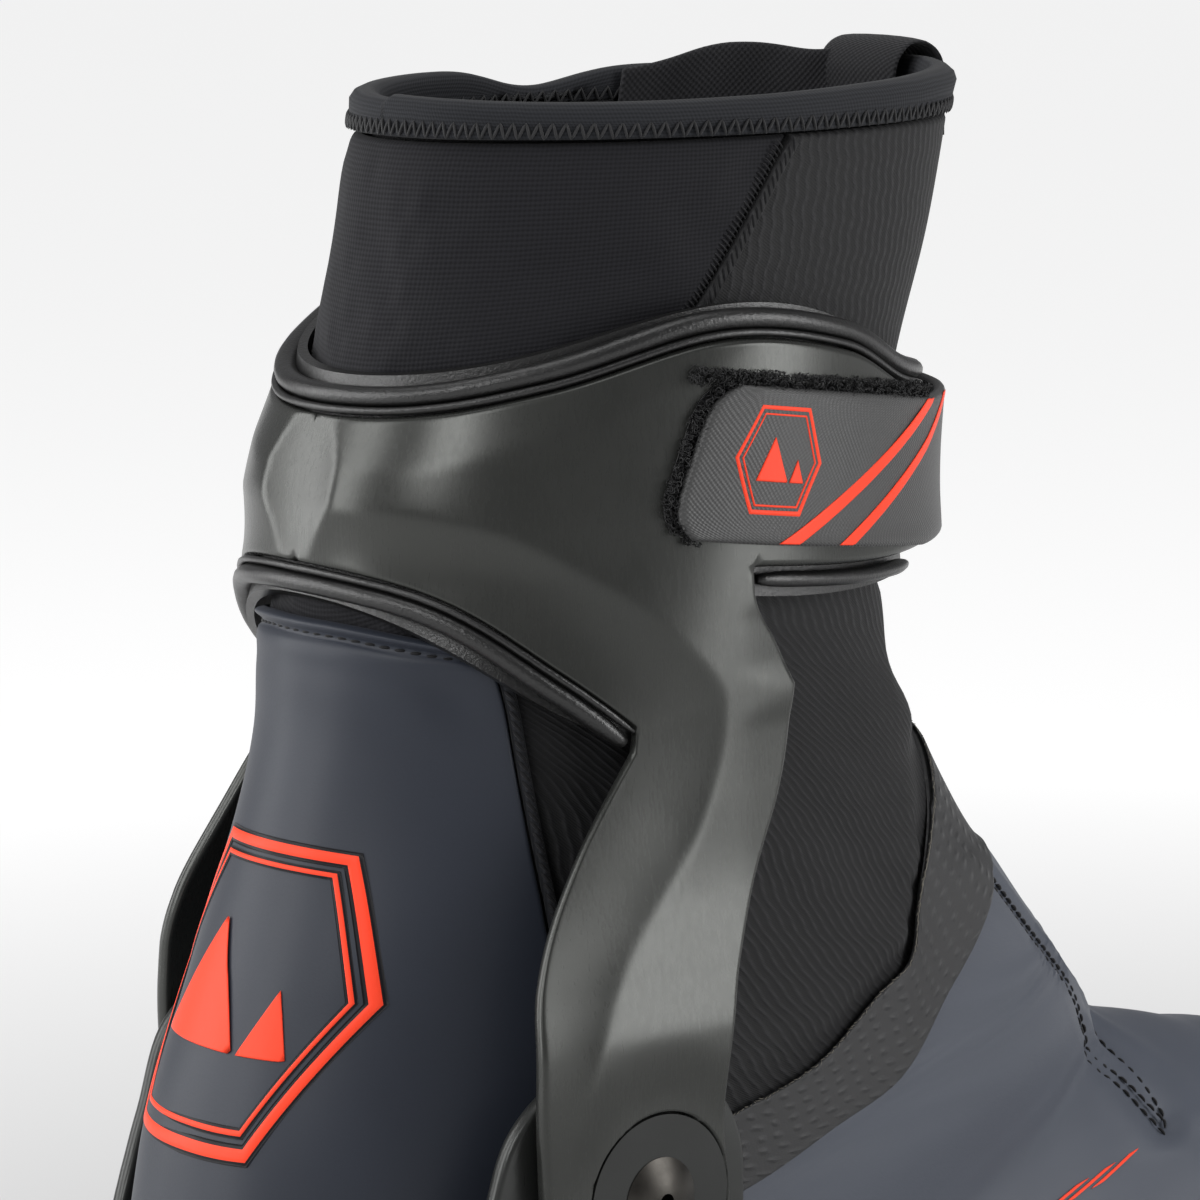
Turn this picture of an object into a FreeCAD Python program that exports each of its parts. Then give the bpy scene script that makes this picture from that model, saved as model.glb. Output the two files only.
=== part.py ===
import FreeCAD
import Part
import math
import os

from FreeCAD import Vector

# Cross country skate boot, right foot.
# Worked in a heel frame: X runs from the heel to the toe, Y is positive on the medial side, Z is up
# from the ground. write_node() moves every piece so that the origin is under the middle of the boot.

# ---- driving dimensions, millimetres ----
HEEL_X = -8.9            # rearmost point of the ankle chassis
TOE_X = 300.4            # foremost point of the toe cap
SOLE_TOP = 14.8          # top of the sole plate
TREAD_TOP = 8.3          # top of the rubber treads
COLLAR_Z = 240.0         # height of the collar rim

PIVOT_X = 50.0           # cuff hinge, across the ankle
PIVOT_Z = 85.0
CHASSIS_FACE = 43.9      # half width over the chassis arms
CUFF_FACE = 48.0         # half width over the cuff arms at the hinge
CUFF_WALL = 3.0
PAD_GAP = 0.2            # between the cuff and its pad
PAD_THICKNESS = 1.4
PIVOT_BORE = 8.1
RIVET_SHANK = 8.0
RIVET_HEAD = 12.6
RIVET_HEAD_HEIGHT = 1.5
DISC_DIAMETER = 25.0
DISC_THICKNESS = 1.0

FOREFOOT_BEND = 7.0      # how far the toe curves to the medial side
BEND_START = 120.0

TOE_STEP_X = 252.5       # the sole plate is lower under the toe cap
TOE_STEP_Z = 13.0
BAR_X = 283.0            # toe bar for the binding
BAR_Z = 5.0
BAR_DIAMETER = 4.0
BAR_SLOT = 28.0
GROOVE_WIDTH = 9.0       # guide grooves in the forefoot tread
GROOVE_DEPTH = 4.0
GROOVE_SPACING = 30.0

LAYER_GAP = 0.3          # gap between neighbouring soft layers
SKIN = 1.2               # thickness of the sewn or welded overlays
TUNNEL = 5.2             # height of the lacing tunnel under the lace cover
LOOP_WIDTH = 15.0        # webbing loop on the collar
LOOP_THICKNESS = 1.2

# Sections of the upper, from the collar rim down the shaft, round the heel like a fan, and out to
# the toe. Each is an oval between its front or top point and its back or bottom point:
# front x, front z, back x, back z, half width, fullness at the front, squareness at the back.
UPPER_SECTIONS = [
    (141.0, 240.0, 38.5, 240.0, 33.0, 0.50, 0.50),
    (136.0, 218.0, 34.8, 218.0, 33.0, 0.50, 0.50),
    (129.5, 200.0, 31.0, 201.0, 33.8, 0.50, 0.50),
    (125.0, 183.0, 27.5, 185.0, 34.3, 0.50, 0.50),
    (124.0, 165.5, 24.5, 169.5, 34.8, 0.50, 0.50),
    (130.0, 140.5, 22.3, 159.0, 35.3, 0.50, 0.50),
    (140.0, 119.5, 21.0, 148.0, 35.8, 0.50, 0.50),
    (145.0, 114.2, 16.5, 131.0, 36.2, 0.50, 0.48),
    (150.0, 108.9, 9.5, 112.0, 36.6, 0.50, 0.45),
    (155.0, 103.6, 2.5, 91.0, 37.0, 0.50, 0.42),
    (160.0, 98.3, -2.0, 68.0, 37.6, 0.50, 0.40),
    (165.0, 93.0, -4.0, 44.0, 38.0, 0.50, 0.36),
    (170.0, 87.7, 1.0, 22.0, 36.8, 0.50, 0.28),
    (175.5, 83.2, 25.0, 15.5, 37.4, 0.50, 0.18),
    (188.0, 79.0, 70.0, 15.5, 39.6, 0.50, 0.15),
    (203.0, 75.0, 112.0, 15.5, 43.2, 0.50, 0.15),
    (220.0, 70.5, 150.0, 15.5, 46.8, 0.50, 0.15),
    (238.0, 65.5, 184.0, 15.5, 48.6, 0.50, 0.15),
    (255.0, 60.5, 214.0, 15.5, 47.6, 0.50, 0.15),
    (270.0, 55.0, 240.0, 15.5, 44.3, 0.50, 0.15),
    (282.0, 48.5, 262.0, 15.5, 38.8, 0.50, 0.16),
    (290.5, 41.0, 277.0, 15.5, 31.5, 0.50, 0.20),
    (296.0, 33.0, 287.0, 16.0, 23.0, 0.50, 0.30),
    (298.8, 26.0, 293.5, 17.0, 14.0, 0.50, 0.40),
]
COLLAR_EDGE = 4.0        # section number of the collar's lower edge, which tilts with the cuff
ANKLE_EDGE = 6.0         # section number where the lower upper begins

# Level rings of the hinged cuff: z, back x, front x, half width, squareness.
CUFF_RINGS = [
    (55.0, -40.0, 150.0, 48.0, 5.0),
    (85.0, -40.0, 150.0, 48.0, 5.0),
    (108.0, -28.0, 147.0, 47.9, 5.0),
    (117.0, -14.0, 142.0, 46.2, 4.2),
    (128.0, 0.0, 138.0, 44.2, 3.6),
    (142.0, 12.0, 134.0, 43.3, 3.0),
    (158.0, 17.0, 131.0, 42.9, 2.4),
    (173.0, 20.3, 130.5, 42.6, 2.1),
    (184.0, 21.5, 131.3, 42.2, 2.0),
    (197.0, 25.3, 132.8, 41.5, 2.0),
    (210.0, 28.0, 134.5, 41.0, 2.0),
    (222.0, 31.0, 135.0, 40.5, 2.0),
]

# Level rings of the ankle chassis, the same way.
CHASSIS_RINGS = [
    (4.0, -3.0, 190.0, 41.0, 2.6),
    (14.0, -5.2, 190.0, 41.2, 2.6),
    (28.0, -7.9, 190.0, 42.0, 2.7),
    (44.0, -8.9, 190.0, 43.0, 2.8),
    (60.0, -9.2, 185.0, 43.6, 3.2),
    (76.0, -20.0, 170.0, 43.9, 5.0),
    (110.0, -30.0, 160.0, 43.9, 5.0),
]
CHASSIS_WALL = 2.8

# Sole outline on the ground, heel round by the lateral side to the toe and back.
SOLE_OUTLINE = [
    (-1.4, 0.0), (2.5, -15.2), (17.0, -26.8), (48.0, -34.8), (95.0, -35.2), (140.0, -39.5),
    (185.0, -45.0), (222.0, -45.0), (256.0, -36.5), (281.0, -21.0), (295.5, 5.5), (288.0, 25.0),
    (264.0, 40.5), (225.0, 47.5), (185.0, 45.5), (140.0, 38.5), (95.0, 34.5), (48.0, 34.6),
    (17.0, 26.8), (2.5, 15.2),
]


# ---- curves and surfaces ----
def smooth(stops, values, at):
    """Value at a place on a smooth curve through (stop, value) pairs, straight past both ends."""
    last = len(stops) - 1

    def slope(k):
        a = max(k - 1, 0)
        b = min(k + 1, last)
        return (values[b] - values[a]) / (stops[b] - stops[a])

    if at <= stops[0]:
        return values[0] + slope(0) * (at - stops[0])
    if at >= stops[last]:
        return values[last] + slope(last) * (at - stops[last])
    k = 0
    while stops[k + 1] < at:
        k += 1
    span = stops[k + 1] - stops[k]
    t = (at - stops[k]) / span
    rise = values[k + 1] - values[k]
    m0 = slope(k) * span
    m1 = slope(k + 1) * span
    return values[k] + t * (m0 + t * (3 * rise - 2 * m0 - m1 + t * (m0 + m1 - 2 * rise)))


def bend(x):
    """Sideways place of the boot's centre line."""
    reach = max(0.0, (x - BEND_START) / (TOE_X - BEND_START))
    return FOREFOOT_BEND * reach * reach


def even_spacing(points):
    """(fraction of the length, point) pairs along a polyline."""
    lengths = [0.0]
    for a, b in zip(points, points[1:]):
        lengths.append(lengths[-1] + (b - a).Length)
    return [(length / lengths[-1], point) for length, point in zip(lengths, points)]


def along(table, fraction):
    """Point at a fraction of the length of an even_spacing table."""
    low = 0
    high = len(table) - 1
    while high - low > 1:
        middle = (low + high) // 2
        if table[middle][0] < fraction:
            low = middle
        else:
            high = middle
    f0, p0 = table[low]
    f1, p1 = table[high]
    return p0 + (p1 - p0) * ((fraction - f0) / (f1 - f0))


UPPER_STOPS = list(range(len(UPPER_SECTIONS)))
UPPER_COLUMNS = list(zip(*UPPER_SECTIONS))
FINE = 80                # steps along half a section
half_sections = {}


def half_section(u):
    """Lateral half of an upper section, from its front point to its back point."""
    key = round(u, 5)
    if key not in half_sections:
        tx, tz, bx, bz, width, a, b = [smooth(UPPER_STOPS, c, u) for c in UPPER_COLUMNS]
        widest = a / (a + b)
        points = []
        for i in range(FINE + 1):
            s = (1 - math.cos(math.pi * i / FINE)) / 2
            out = 0.0
            if 0 < i < FINE:
                out = width * (s / widest) ** a * ((1 - s) / (1 - widest)) ** b
            points.append(Vector(tx + (bx - tx) * s, -out, tz + (bz - tz) * s))
        half_sections[key] = even_spacing(points)
    return half_sections[key]


def upper_base(u, v):
    """Point of the upper's outer skin. v runs 0 at the front to 1 at the back by the lateral side,
    and 0 to -1 by the medial side."""
    while v > 1:
        v -= 2
    while v < -1:
        v += 2
    point = along(half_section(u), abs(v))
    side = 1 if v >= 0 else -1
    return Vector(point.x, side * point.y + bend(point.x), point.z)


def upper(u, v, offset=0.0):
    """Point at a distance outside the upper's skin."""
    step = 0.02
    base = upper_base(u, v)
    if offset == 0.0:
        return base
    du = upper_base(u + step, v) - upper_base(u - step, v)
    dv = upper_base(u, v + step) - upper_base(u, v - step)
    normal = du.cross(dv)
    normal.normalize()
    middle = (upper_base(u, 0) + upper_base(u, 1)) * 0.5
    if normal.dot(base - middle) < 0:
        normal = normal * -1
    return base + normal * offset


def upper_v(u, x):
    """v of the lateral skin where it stands at x on section u."""
    low = 0.0
    high = 1.0
    for _ in range(30):
        middle = (low + high) / 2
        if upper_base(u, middle).x > x:
            low = middle
        else:
            high = middle
    return (low + high) / 2


class Rings:
    """A wall of level squared ovals. q runs 0 at the back to 1 at the front by the lateral side, and
    0 to -1 by the medial side."""

    def __init__(self, rings):
        self.stops, self.back, self.front, self.width, self.square = zip(*rings)
        self.halves = {}

    def half(self, z):
        key = round(z, 4)
        if key not in self.halves:
            back = smooth(self.stops, self.back, z)
            front = smooth(self.stops, self.front, z)
            width = smooth(self.stops, self.width, z)
            power = 2 / smooth(self.stops, self.square, z)
            centre = (back + front) / 2
            points = []
            for i in range(FINE + 1):
                turn = math.pi * i / FINE
                c = math.cos(turn)
                x = centre - (front - back) / 2 * math.copysign(abs(c) ** power, c)
                points.append(Vector(x, -width * max(math.sin(turn), 0) ** power, z))
            self.halves[key] = even_spacing(points)
        return self.halves[key]

    def base(self, z, q):
        while q > 1:
            q -= 2
        while q < -1:
            q += 2
        point = along(self.half(z), abs(q))
        return Vector(point.x, point.y if q >= 0 else -point.y, z)

    def point(self, z, q, offset=0.0):
        base = self.base(z, q)
        ahead = self.base(z, q + 0.015) - self.base(z, q - 0.015)
        rise = self.base(z + 1, q) - self.base(z - 1, q)
        normal = ahead.cross(rise)
        normal.normalize()
        if normal.dot(base - Vector(75, 0, z)) < 0:
            normal = normal * -1
        return base + normal * offset

    def q_at(self, z, x):
        """q of the lateral wall where it stands at x."""
        low = 0.0
        high = 1.0
        for _ in range(30):
            middle = (low + high) / 2
            if self.base(z, middle).x < x:
                low = middle
            else:
                high = middle
        return (low + high) / 2


cuff = Rings(CUFF_RINGS)
chassis = Rings(CHASSIS_RINGS)


def steps(start, end, count):
    """count + 1 even places from start to end."""
    return [start + (end - start) * i / count for i in range(count + 1)]


def skin_face(rows):
    """Smooth face through a grid of points."""
    surface = Part.BSplineSurface()
    surface.interpolate(rows)
    return surface.toShape()


def closed_solid(faces):
    """Solid from faces that share their edges."""
    shell = Part.makeShell(faces)
    shell.sewShape()
    solid = Part.makeSolid(shell if shell.ShapeType == "Shell" else shell.Shells[0])
    if solid.Volume < 0:
        solid.reverse()
    return solid


def sheet_solid(outer_rows, inner_rows):
    """Thick sheet between two grids of points."""
    outer = skin_face(outer_rows)
    inner = skin_face(inner_rows)
    rims = [Part.makeRuledSurface(a, b) for a, b in zip(outer.Edges, inner.Edges)]
    return closed_solid([outer, inner] + rims)


def upper_sheet(u_range, v_edges, inside, outside, across=10, down=8):
    """Sheet laid on the upper between two sections. v_edges gives the two side edges at a section."""
    grids = []
    for offset in (outside, inside):
        rows = []
        for u in steps(u_range[0], u_range[1], down):
            left, right = v_edges(u)
            rows.append([upper(u, v, offset) for v in steps(left, right, across)])
        grids.append(rows)
    return sheet_solid(grids[0], grids[1])


def cuff_sheet(z_range, q_edges, inside, outside, across=12, down=6, lean=0.0):
    """Sheet laid on the cuff's wall between two heights, rising to the back where it leans."""
    grids = []

    def raised(z, q):
        return z + lean * max(0.0, STRAP_LINE_X - cuff.point(z, q, 0).x)

    for offset in (outside, inside):
        rows = []
        for z in steps(z_range[0], z_range[1], down):
            left, right = q_edges(z)
            rows.append([cuff.point(raised(z, q), q, offset) for q in steps(left, right, across)])
        grids.append(rows)
    return sheet_solid(grids[0], grids[1])


def loop_rows(u_values, offset, flat_end):
    """Grid right round the upper; its last row is made plane where it closes the toe."""
    rows = [[upper(u, v, offset) for v in steps(0, 2, 36)] for u in u_values]
    if flat_end:
        u = u_values[-1]
        front = upper_base(u, 0)
        back = upper_base(u, 1)
        slope = Vector(back.x - front.x, 0, back.z - front.z)
        plane = slope.cross(Vector(0, 1, 0))
        plane.normalize()
        origin = Vector(front.x, 0, front.z)
        rows[-1] = [p - plane * (p - origin).dot(plane) for p in rows[-1]]
    return rows


def edge_at(face, point):
    """The edge of a face that passes nearest a point."""
    return min(face.Edges, key=lambda e: e.distToShape(Part.Vertex(point))[0])


def upper_tube(u_range, inside, outside, closed_at=None, sections=20):
    """Tube round the whole upper. With closed_at, the tube is a sock with its toe closed: the inner
    skin stops at section closed_at and the outer one at the end of u_range."""
    faces = []
    mouths = []
    toes = []
    for offset in (outside, inside):
        last = u_range[1]
        if closed_at and offset == inside:
            last = closed_at
        rows = loop_rows(steps(u_range[0], last, sections), offset, closed_at)
        face = skin_face(rows)
        faces.append(face)
        side = len(rows[0]) // 4
        mouths.append(edge_at(face, rows[0][side]))
        toes.append(edge_at(face, rows[-1][side]))
    faces.append(Part.makeRuledSurface(mouths[0], mouths[1]))
    if closed_at:
        faces.extend([Part.Face(Part.Wire([edge])) for edge in toes])
    else:
        faces.append(Part.makeRuledSurface(toes[0], toes[1]))
    return closed_solid(faces)


def spline(points, closed=False):
    """Smooth edge through points."""
    curve = Part.BSplineCurve()
    curve.interpolate(Points=points, PeriodicFlag=closed)
    return curve.toShape()


def side_prism(runs, half_width):
    """Prism across the boot whose side view is bounded by smooth runs of (x, z) points."""
    edges = []
    for run in runs:
        points = [Vector(x, -half_width, z) for x, z in run]
        if len(points) == 2:
            edges.append(Part.makeLine(points[0], points[1]))
        else:
            edges.append(spline(points))
    return Part.Face(Part.Wire(edges)).extrude(Vector(0, 2 * half_width, 0))


def ring_wall(rings, z_range, reach, thickness, rows=12, columns=30):
    """U-shaped wall open at the front, reaching to x = reach on both sides."""
    grids = []
    for offset in (0.0, -thickness):
        grid = []
        for z in steps(z_range[0], z_range[1], rows):
            end = rings.q_at(z, reach)
            grid.append([rings.point(z, q, offset) for q in steps(-end, end, columns)])
        grids.append(grid)
    return sheet_solid(grids[0], grids[1])


def cross_cylinder(x, z, diameter, y_from, y_to):
    """Cylinder along Y."""
    start = Vector(x, min(y_from, y_to), z)
    return Part.makeCylinder(diameter / 2, abs(y_to - y_from), start, Vector(0, 1, 0))


def write_node(name, shapes):
    """Move a node's solids to the boot's own frame and write them."""
    if not isinstance(shapes, list):
        shapes = [shapes]
    solids = []
    for shape in shapes:
        solids.extend(shape.Solids)
    for solid in solids:
        if not solid.isValid() or solid.Volume <= 0:
            print("CHECK", name, "valid", solid.isValid(), "volume", round(solid.Volume, 1))
    node = solids[0] if len(solids) == 1 else Part.makeCompound(solids)
    node.translate(Vector(-(HEEL_X + TOE_X) / 2, 0, 0))
    node.exportStep("parts/" + name + ".step")
    print(name, len(solids), round(sum(s.Volume for s in solids) / 1000, 2), "cm3")


# ---- sole ----
def outline_prism(inset, bottom, top):
    """Prism of the sole outline between two heights, its edge moved in by inset."""
    points = []
    for x, y in SOLE_OUTLINE:
        middle = Vector(146.0, bend(x), 0)
        arm = Vector(x, y, 0) - Vector(min(max(x, 35.0), 262.0), bend(x), 0)
        arm = arm * (1 - inset / max(arm.Length, 1.0))
        points.append(Vector(min(max(x, 35.0), 262.0), middle.y, 0) + arm + Vector(0, 0, bottom))
    return Part.Face(Part.Wire([spline(points, True)])).extrude(Vector(0, 0, top - bottom))


def slab(x0, x1, y0, y1, z0, z1):
    """Box between two corners."""
    return Part.makeBox(x1 - x0, y1 - y0, z1 - z0, Vector(x0, y0, z0))


def sole_plate():
    plate = outline_prism(0.0, TREAD_TOP + LAYER_GAP, SOLE_TOP)
    plate = plate.cut(slab(TOE_STEP_X, TOE_X + 20, -80, 80, TOE_STEP_Z, SOLE_TOP + 5))
    centre = bend(BAR_X)
    carrier = slab(BAR_X - 9, BAR_X + 7, centre - 20, centre + 20, 1.6, TOE_STEP_Z - 1)
    carrier = carrier.common(outline_prism(0.6, 0, SOLE_TOP))
    plate = plate.fuse(carrier).removeSplitter()
    jaw_slot = slab(BAR_X - 14, TOE_X + 5, centre - BAR_SLOT / 2, centre + BAR_SLOT / 2, 0, 11.0)
    plate = plate.cut(jaw_slot)
    return plate.cut(cross_cylinder(BAR_X, BAR_Z, BAR_DIAMETER + 0.04, centre - 17, centre + 17))


def toe_bar():
    centre = bend(BAR_X)
    return cross_cylinder(BAR_X, BAR_Z, BAR_DIAMETER, centre - 16.5, centre + 16.5)


def tread_bars(x_from, x_to, pitch):
    """Cross grooves that break a tread into blocks."""
    cuts = []
    x = x_from
    while x < x_to:
        cuts.append(slab(x, x + 3.0, -60, 60, -1, 2.6))
        x += pitch
    return cuts


def forefoot_tread():
    tread = outline_prism(1.0, 0, TREAD_TOP).common(slab(150, 268, -60, 60, -1, 20))
    for side in (-1, 1):
        middle = side * GROOVE_SPACING / 2
        start = middle - GROOVE_WIDTH / 2
        tread = tread.cut(slab(140, 310, start, start + GROOVE_WIDTH, -1, GROOVE_DEPTH))
    for groove in tread_bars(158, 262, 12):
        tread = tread.cut(groove)
    return tread


def heel_tread():
    tread = outline_prism(-4.2, 0, TREAD_TOP).common(slab(-20, 74, -60, 60, -1, 20))
    for groove in tread_bars(6, 70, 12):
        tread = tread.cut(groove)
    return tread


def insole_board():
    return outline_prism(14.5, 19.8, 21.0)


def footbed():
    return outline_prism(11.5, 21.2, 24.0)


# ---- ankle chassis ----
CHASSIS_SIDE = [
    [(-30, 8.6), (-30, 50)],
    [(-30, 50), (-8, 52), (4, 57), (15, 68), (22, 84), (27, 97), (37, 104.3), (50, 105), (62, 101),
     (69, 91), (70, 78), (73, 56), (82, 34), (98, 18), (116, 8.6)],
    [(116, 8.6), (-30, 8.6)],
]


def ankle_chassis():
    wall = ring_wall(chassis, (7.0, 108.0), 125.0, CHASSIS_WALL)
    cup = wall.common(side_prism(CHASSIS_SIDE, 60))
    return cup.cut(cross_cylinder(PIVOT_X, PIVOT_Z, RIVET_SHANK + 0.04, -60, 60))


# ---- soft upper ----
def bootie_liner():
    return upper_tube((ANKLE_EDGE + 0.02, 22.2), -3.4, -1.55, 21.8, sections=34)


def vamp():
    return upper_tube((ANKLE_EDGE + 0.02, 22.9), -1.2, 0.0, 22.5, sections=34)


def toe_cap():
    """Rubber cap right round the toe; its underside sits in the step of the sole plate."""
    return upper_tube((19.6, 23.25), 0.5, 2.1, 23.05, sections=12)


def ankle_bellows():
    return upper_tube((COLLAR_EDGE + 0.03, ANKLE_EDGE - 0.02), -3.4, 0.0, sections=8)


HEEL_COVER_FRONT = ([4.5, 6.0, 7.5, 9.0, 11.0], [36.0, 40.0, 44.0, 52.0, 62.0])


def heel_cover():
    """Sheet round the heel from one front edge by the back to the other."""

    def edges(u):
        front = upper_v(u, smooth(HEEL_COVER_FRONT[0], HEEL_COVER_FRONT[1], u))
        return front, 2 - front

    return upper_sheet((4.5, 11.1), edges, LAYER_GAP, LAYER_GAP + SKIN, across=24, down=14)


def instep_band():
    """Band from below the hinge up over each side of the instep."""

    def edges(u):
        back = upper_v(u, smooth([6.1, 9.0, 10.6], [104.0, 104.0, 84.0], u))
        return 0.235, back

    def medial_edges(u):
        front, back = edges(u)
        return -front, -back

    bands = []
    for side_edges in (edges, medial_edges):
        bands.append(upper_sheet((6.1, 10.6), side_edges, LAYER_GAP, LAYER_GAP + SKIN, 14, 14))
    return bands


COVER_HALF = 0.20        # half width of the lace cover, as a part of the section's half girth
COVER_RANGE = (6.1, 13.2)


def tunnel(u):
    """Height of the lacing tunnel, which runs out towards the toe."""
    return smooth([6.0, 10.0, 13.4], [TUNNEL, TUNNEL, 1.4], u)


def lace_cover():
    """Cover over the lacing, with a wall down each side to the vamp."""
    grids = []
    for skin in (SKIN, 0.0):
        rows = []
        for u in steps(COVER_RANGE[0], COVER_RANGE[1], 14):
            rows.append([upper(u, v, tunnel(u) + skin) for v in steps(-COVER_HALF, COVER_HALF, 12)])
        grids.append(rows)
    pieces = [sheet_solid(grids[0], grids[1])]
    for side in (1, -1):
        grids = []
        for v in (side * COVER_HALF, side * (COVER_HALF + 0.02)):
            rows = []
            for u in steps(COVER_RANGE[0], COVER_RANGE[1], 14):
                rows.append([upper(u, v, h) for h in steps(0.5, tunnel(u) + SKIN, 2)])
            grids.append(rows)
        pieces.append(sheet_solid(grids[0], grids[1]))
    return pieces


def tongue():
    return upper_sheet((6.1, 12.2), lambda u: (-0.13, 0.13), LAYER_GAP, LAYER_GAP + SKIN, 8, 10)


LACE_ROWS = [8.85, 9.5, 10.15, 10.8, 11.45]


def lace_run(u, side, low, high):
    """One crossing of a flat lace from one loop to the next one up."""
    grids = []
    for offset in (high, low):
        rows = []
        for across in steps(-0.5, 0.5, 3):
            row = []
            for t in steps(-1, 1, 8):
                row.append(upper(u - 0.4 * t * side + 0.16 * across, 0.135 * t, offset))
            rows.append(row)
        grids.append(rows)
    return sheet_solid(grids[0], grids[1])


def laces():
    runs = []
    for u in LACE_ROWS:
        runs.append(lace_run(u, 1, 1.75, 2.4))
        runs.append(lace_run(u, -1, 2.55, 3.2))
    return runs


def lace_loops():
    loops = []
    for u in LACE_ROWS:
        for side in (1, -1):
            edges = (side * 0.142, side * 0.175)
            loops.append(upper_sheet((u - 0.28, u + 0.28), lambda _: edges, 0.3, 2.9, 2, 3))
    return loops


# ---- pieces set square to the instep ----
def instep_frame(v, offset):
    """Placement on the instep: x down the instep, y across, z out of the foot."""
    start = upper(6.9, v, offset)
    end = upper(12.0, v, offset)
    x_axis = (end - start).normalize()
    out = upper(9.5, v, 10) - upper(9.5, v, 0)
    y_axis = out.cross(x_axis).normalize()
    z_axis = x_axis.cross(y_axis)
    matrix = FreeCAD.Matrix(
        x_axis.x, y_axis.x, z_axis.x, start.x,
        x_axis.y, y_axis.y, z_axis.y, start.y,
        x_axis.z, y_axis.z, z_axis.z, start.z,
        0, 0, 0, 1)
    return matrix


ZIP_V = -0.11            # the zip runs on the medial side of the cover's middle
ZIP_CLEARANCE = 1.5      # the straight zip bridges the slight curve of the cover
TAPE = (-1.0, 33.0, 4.5, 0.5)    # start, end, half width and thickness
SLIDER_LENGTH = 8.0


def zip_frame():
    return instep_frame(ZIP_V, TUNNEL + SKIN + ZIP_CLEARANCE)


def lock_frame():
    return instep_frame(0.0, 1.75)


def set_in(matrix, shape):
    """A piece moved from its own frame to its place on the instep."""
    return shape.transformGeometry(matrix)


def zip_tape():
    start, end, half, thick = TAPE
    return set_in(zip_frame(), slab(start, end, -half, half, 0, thick))


def zip_coil():
    start, end, _, thick = TAPE
    rows = []
    for y in (-0.95, 0.05):
        rows.append(set_in(zip_frame(), slab(start, end, y, y + 0.9, thick, thick + 1.1)))
    return rows


def zip_slider():
    base = TAPE[3] + 0.35
    body = slab(0, SLIDER_LENGTH, -3.0, 3.0, base, base + 2.6)
    channel = slab(-1, SLIDER_LENGTH + 1, -1.4, 1.4, base - 1, base + 1.3)
    lug = slab(1.5, 6.0, -1.0, 1.0, base + 2.6, base + 4.4)
    eye = Part.makeCylinder(0.75, 4, Vector(3.2, -2, base + 3.5), Vector(0, 1, 0))
    return set_in(zip_frame(), body.cut(channel).fuse(lug).cut(eye))


def zip_pull():
    """Pull tab hung on the slider's lug, lying down the instep."""
    height = TAPE[3] + 0.35 + 3.5
    pin = Part.makeCylinder(0.5, 4.6, Vector(3.2, -2.3, height), Vector(0, 1, 0))
    cheeks = []
    for y in (-2.3, 1.3):
        cheeks.append(slab(2.6, 8.0, y, y + 1.0, height - 0.6, height + 0.6))
    tab = slab(7.0, 24.0, -2.6, 2.6, height - 0.6, height + 0.6)
    body = pin.fuse(cheeks[0]).fuse(cheeks[1]).fuse(tab)
    return set_in(zip_frame(), body)


def lace_lock_body():
    block = slab(0, 11, -6, 6, 0, 3.1)
    slot = slab(-1, 8.0, -3.1, 3.1, 0.7, 2.4)
    return set_in(lock_frame(), block.cut(slot))


def lace_lock_button():
    return set_in(lock_frame(), slab(-2.6, 5.6, -3.0, 3.0, 0.75, 2.35))


# ---- collar ----
def seam_v(u):
    """Slanting seam between the rear and front panels of the collar."""
    return smooth([0.0, 1.5, 4.0], [0.49, 0.59, 0.74], u)


def collar_rear():
    edges = lambda u: (seam_v(u) + 0.003, 2 - seam_v(u) - 0.003)
    return upper_sheet((0.25, COLLAR_EDGE), edges, -2.4, 0.0, across=24, down=8)


def collar_front():
    edges = lambda u: (-seam_v(u) + 0.003, seam_v(u) - 0.003)
    return upper_sheet((0.25, COLLAR_EDGE), edges, -2.4, 0.0, across=16, down=8)


def collar_lining():
    return upper_tube((0.25, COLLAR_EDGE), -3.8, -2.6, sections=8)


def collar_binding():
    return upper_tube((0.0, 0.23), -4.0, 0.5, sections=3)


def pull_loop():
    """Webbing loop standing over the front of the collar rim."""
    rim = upper(0.0, 0).x
    inner_x = rim - 10.0
    outer_x = rim + 2.4
    radius = (outer_x - inner_x) / 2
    top = COLLAR_Z + 7.0
    low = COLLAR_Z - 10.0
    half = LOOP_WIDTH / 2

    def arch(r):
        middle = Vector(inner_x + radius, -half, top - radius)
        bow = Part.makeCylinder(r, LOOP_WIDTH, middle, Vector(0, 1, 0))
        legs = slab(middle.x - r, middle.x + r, -half, half, low, middle.z)
        return bow.fuse(legs)

    return arch(radius).cut(arch(radius - LOOP_THICKNESS))


# ---- hinged cuff ----
CUFF_SIDE = [
    [(5, 177.5), (5, 194.5)],
    [(5, 194.5), (27, 196), (43, 199.8), (68, 206.3), (92, 203.3), (107, 196.8), (119, 194)],
    [(119, 194), (121, 183), (116, 171)],
    [(116, 171), (95, 171.6), (72, 173.5)],
    [(72, 173.5), (72.5, 168.5), (76, 163), (79.8, 156)],
    [(79.8, 156), (77, 142), (70.5, 127), (65, 112), (62.5, 97), (63.8, 82)],
    [(63.8, 82), (59.5, 71), (50, 66), (38.5, 69), (31, 77.5), (29.5, 89)],
    [(29.5, 89), (29.2, 103), (31, 118), (39.5, 133.5), (51, 149)],
    [(51, 149), (51.5, 152.5)],
    [(51.5, 152.5), (41, 161), (26, 172.5), (5, 177.5)],
]

PAD_SIDE = [
    [(5, 173), (5, 199)],
    [(5, 199), (27, 200.5), (43, 204.3), (68, 210.8), (92, 207.8), (107, 201.3), (115, 199)],
    [(115, 199), (113, 167.5)],
    [(113, 167.5), (95, 167.2), (74, 168.8)],
    [(74, 168.8), (71, 160), (62, 154)],
    [(62, 154), (54, 149.5), (47, 152)],
    [(47, 152), (39, 156.5), (25, 168), (5, 173)],
]


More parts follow.
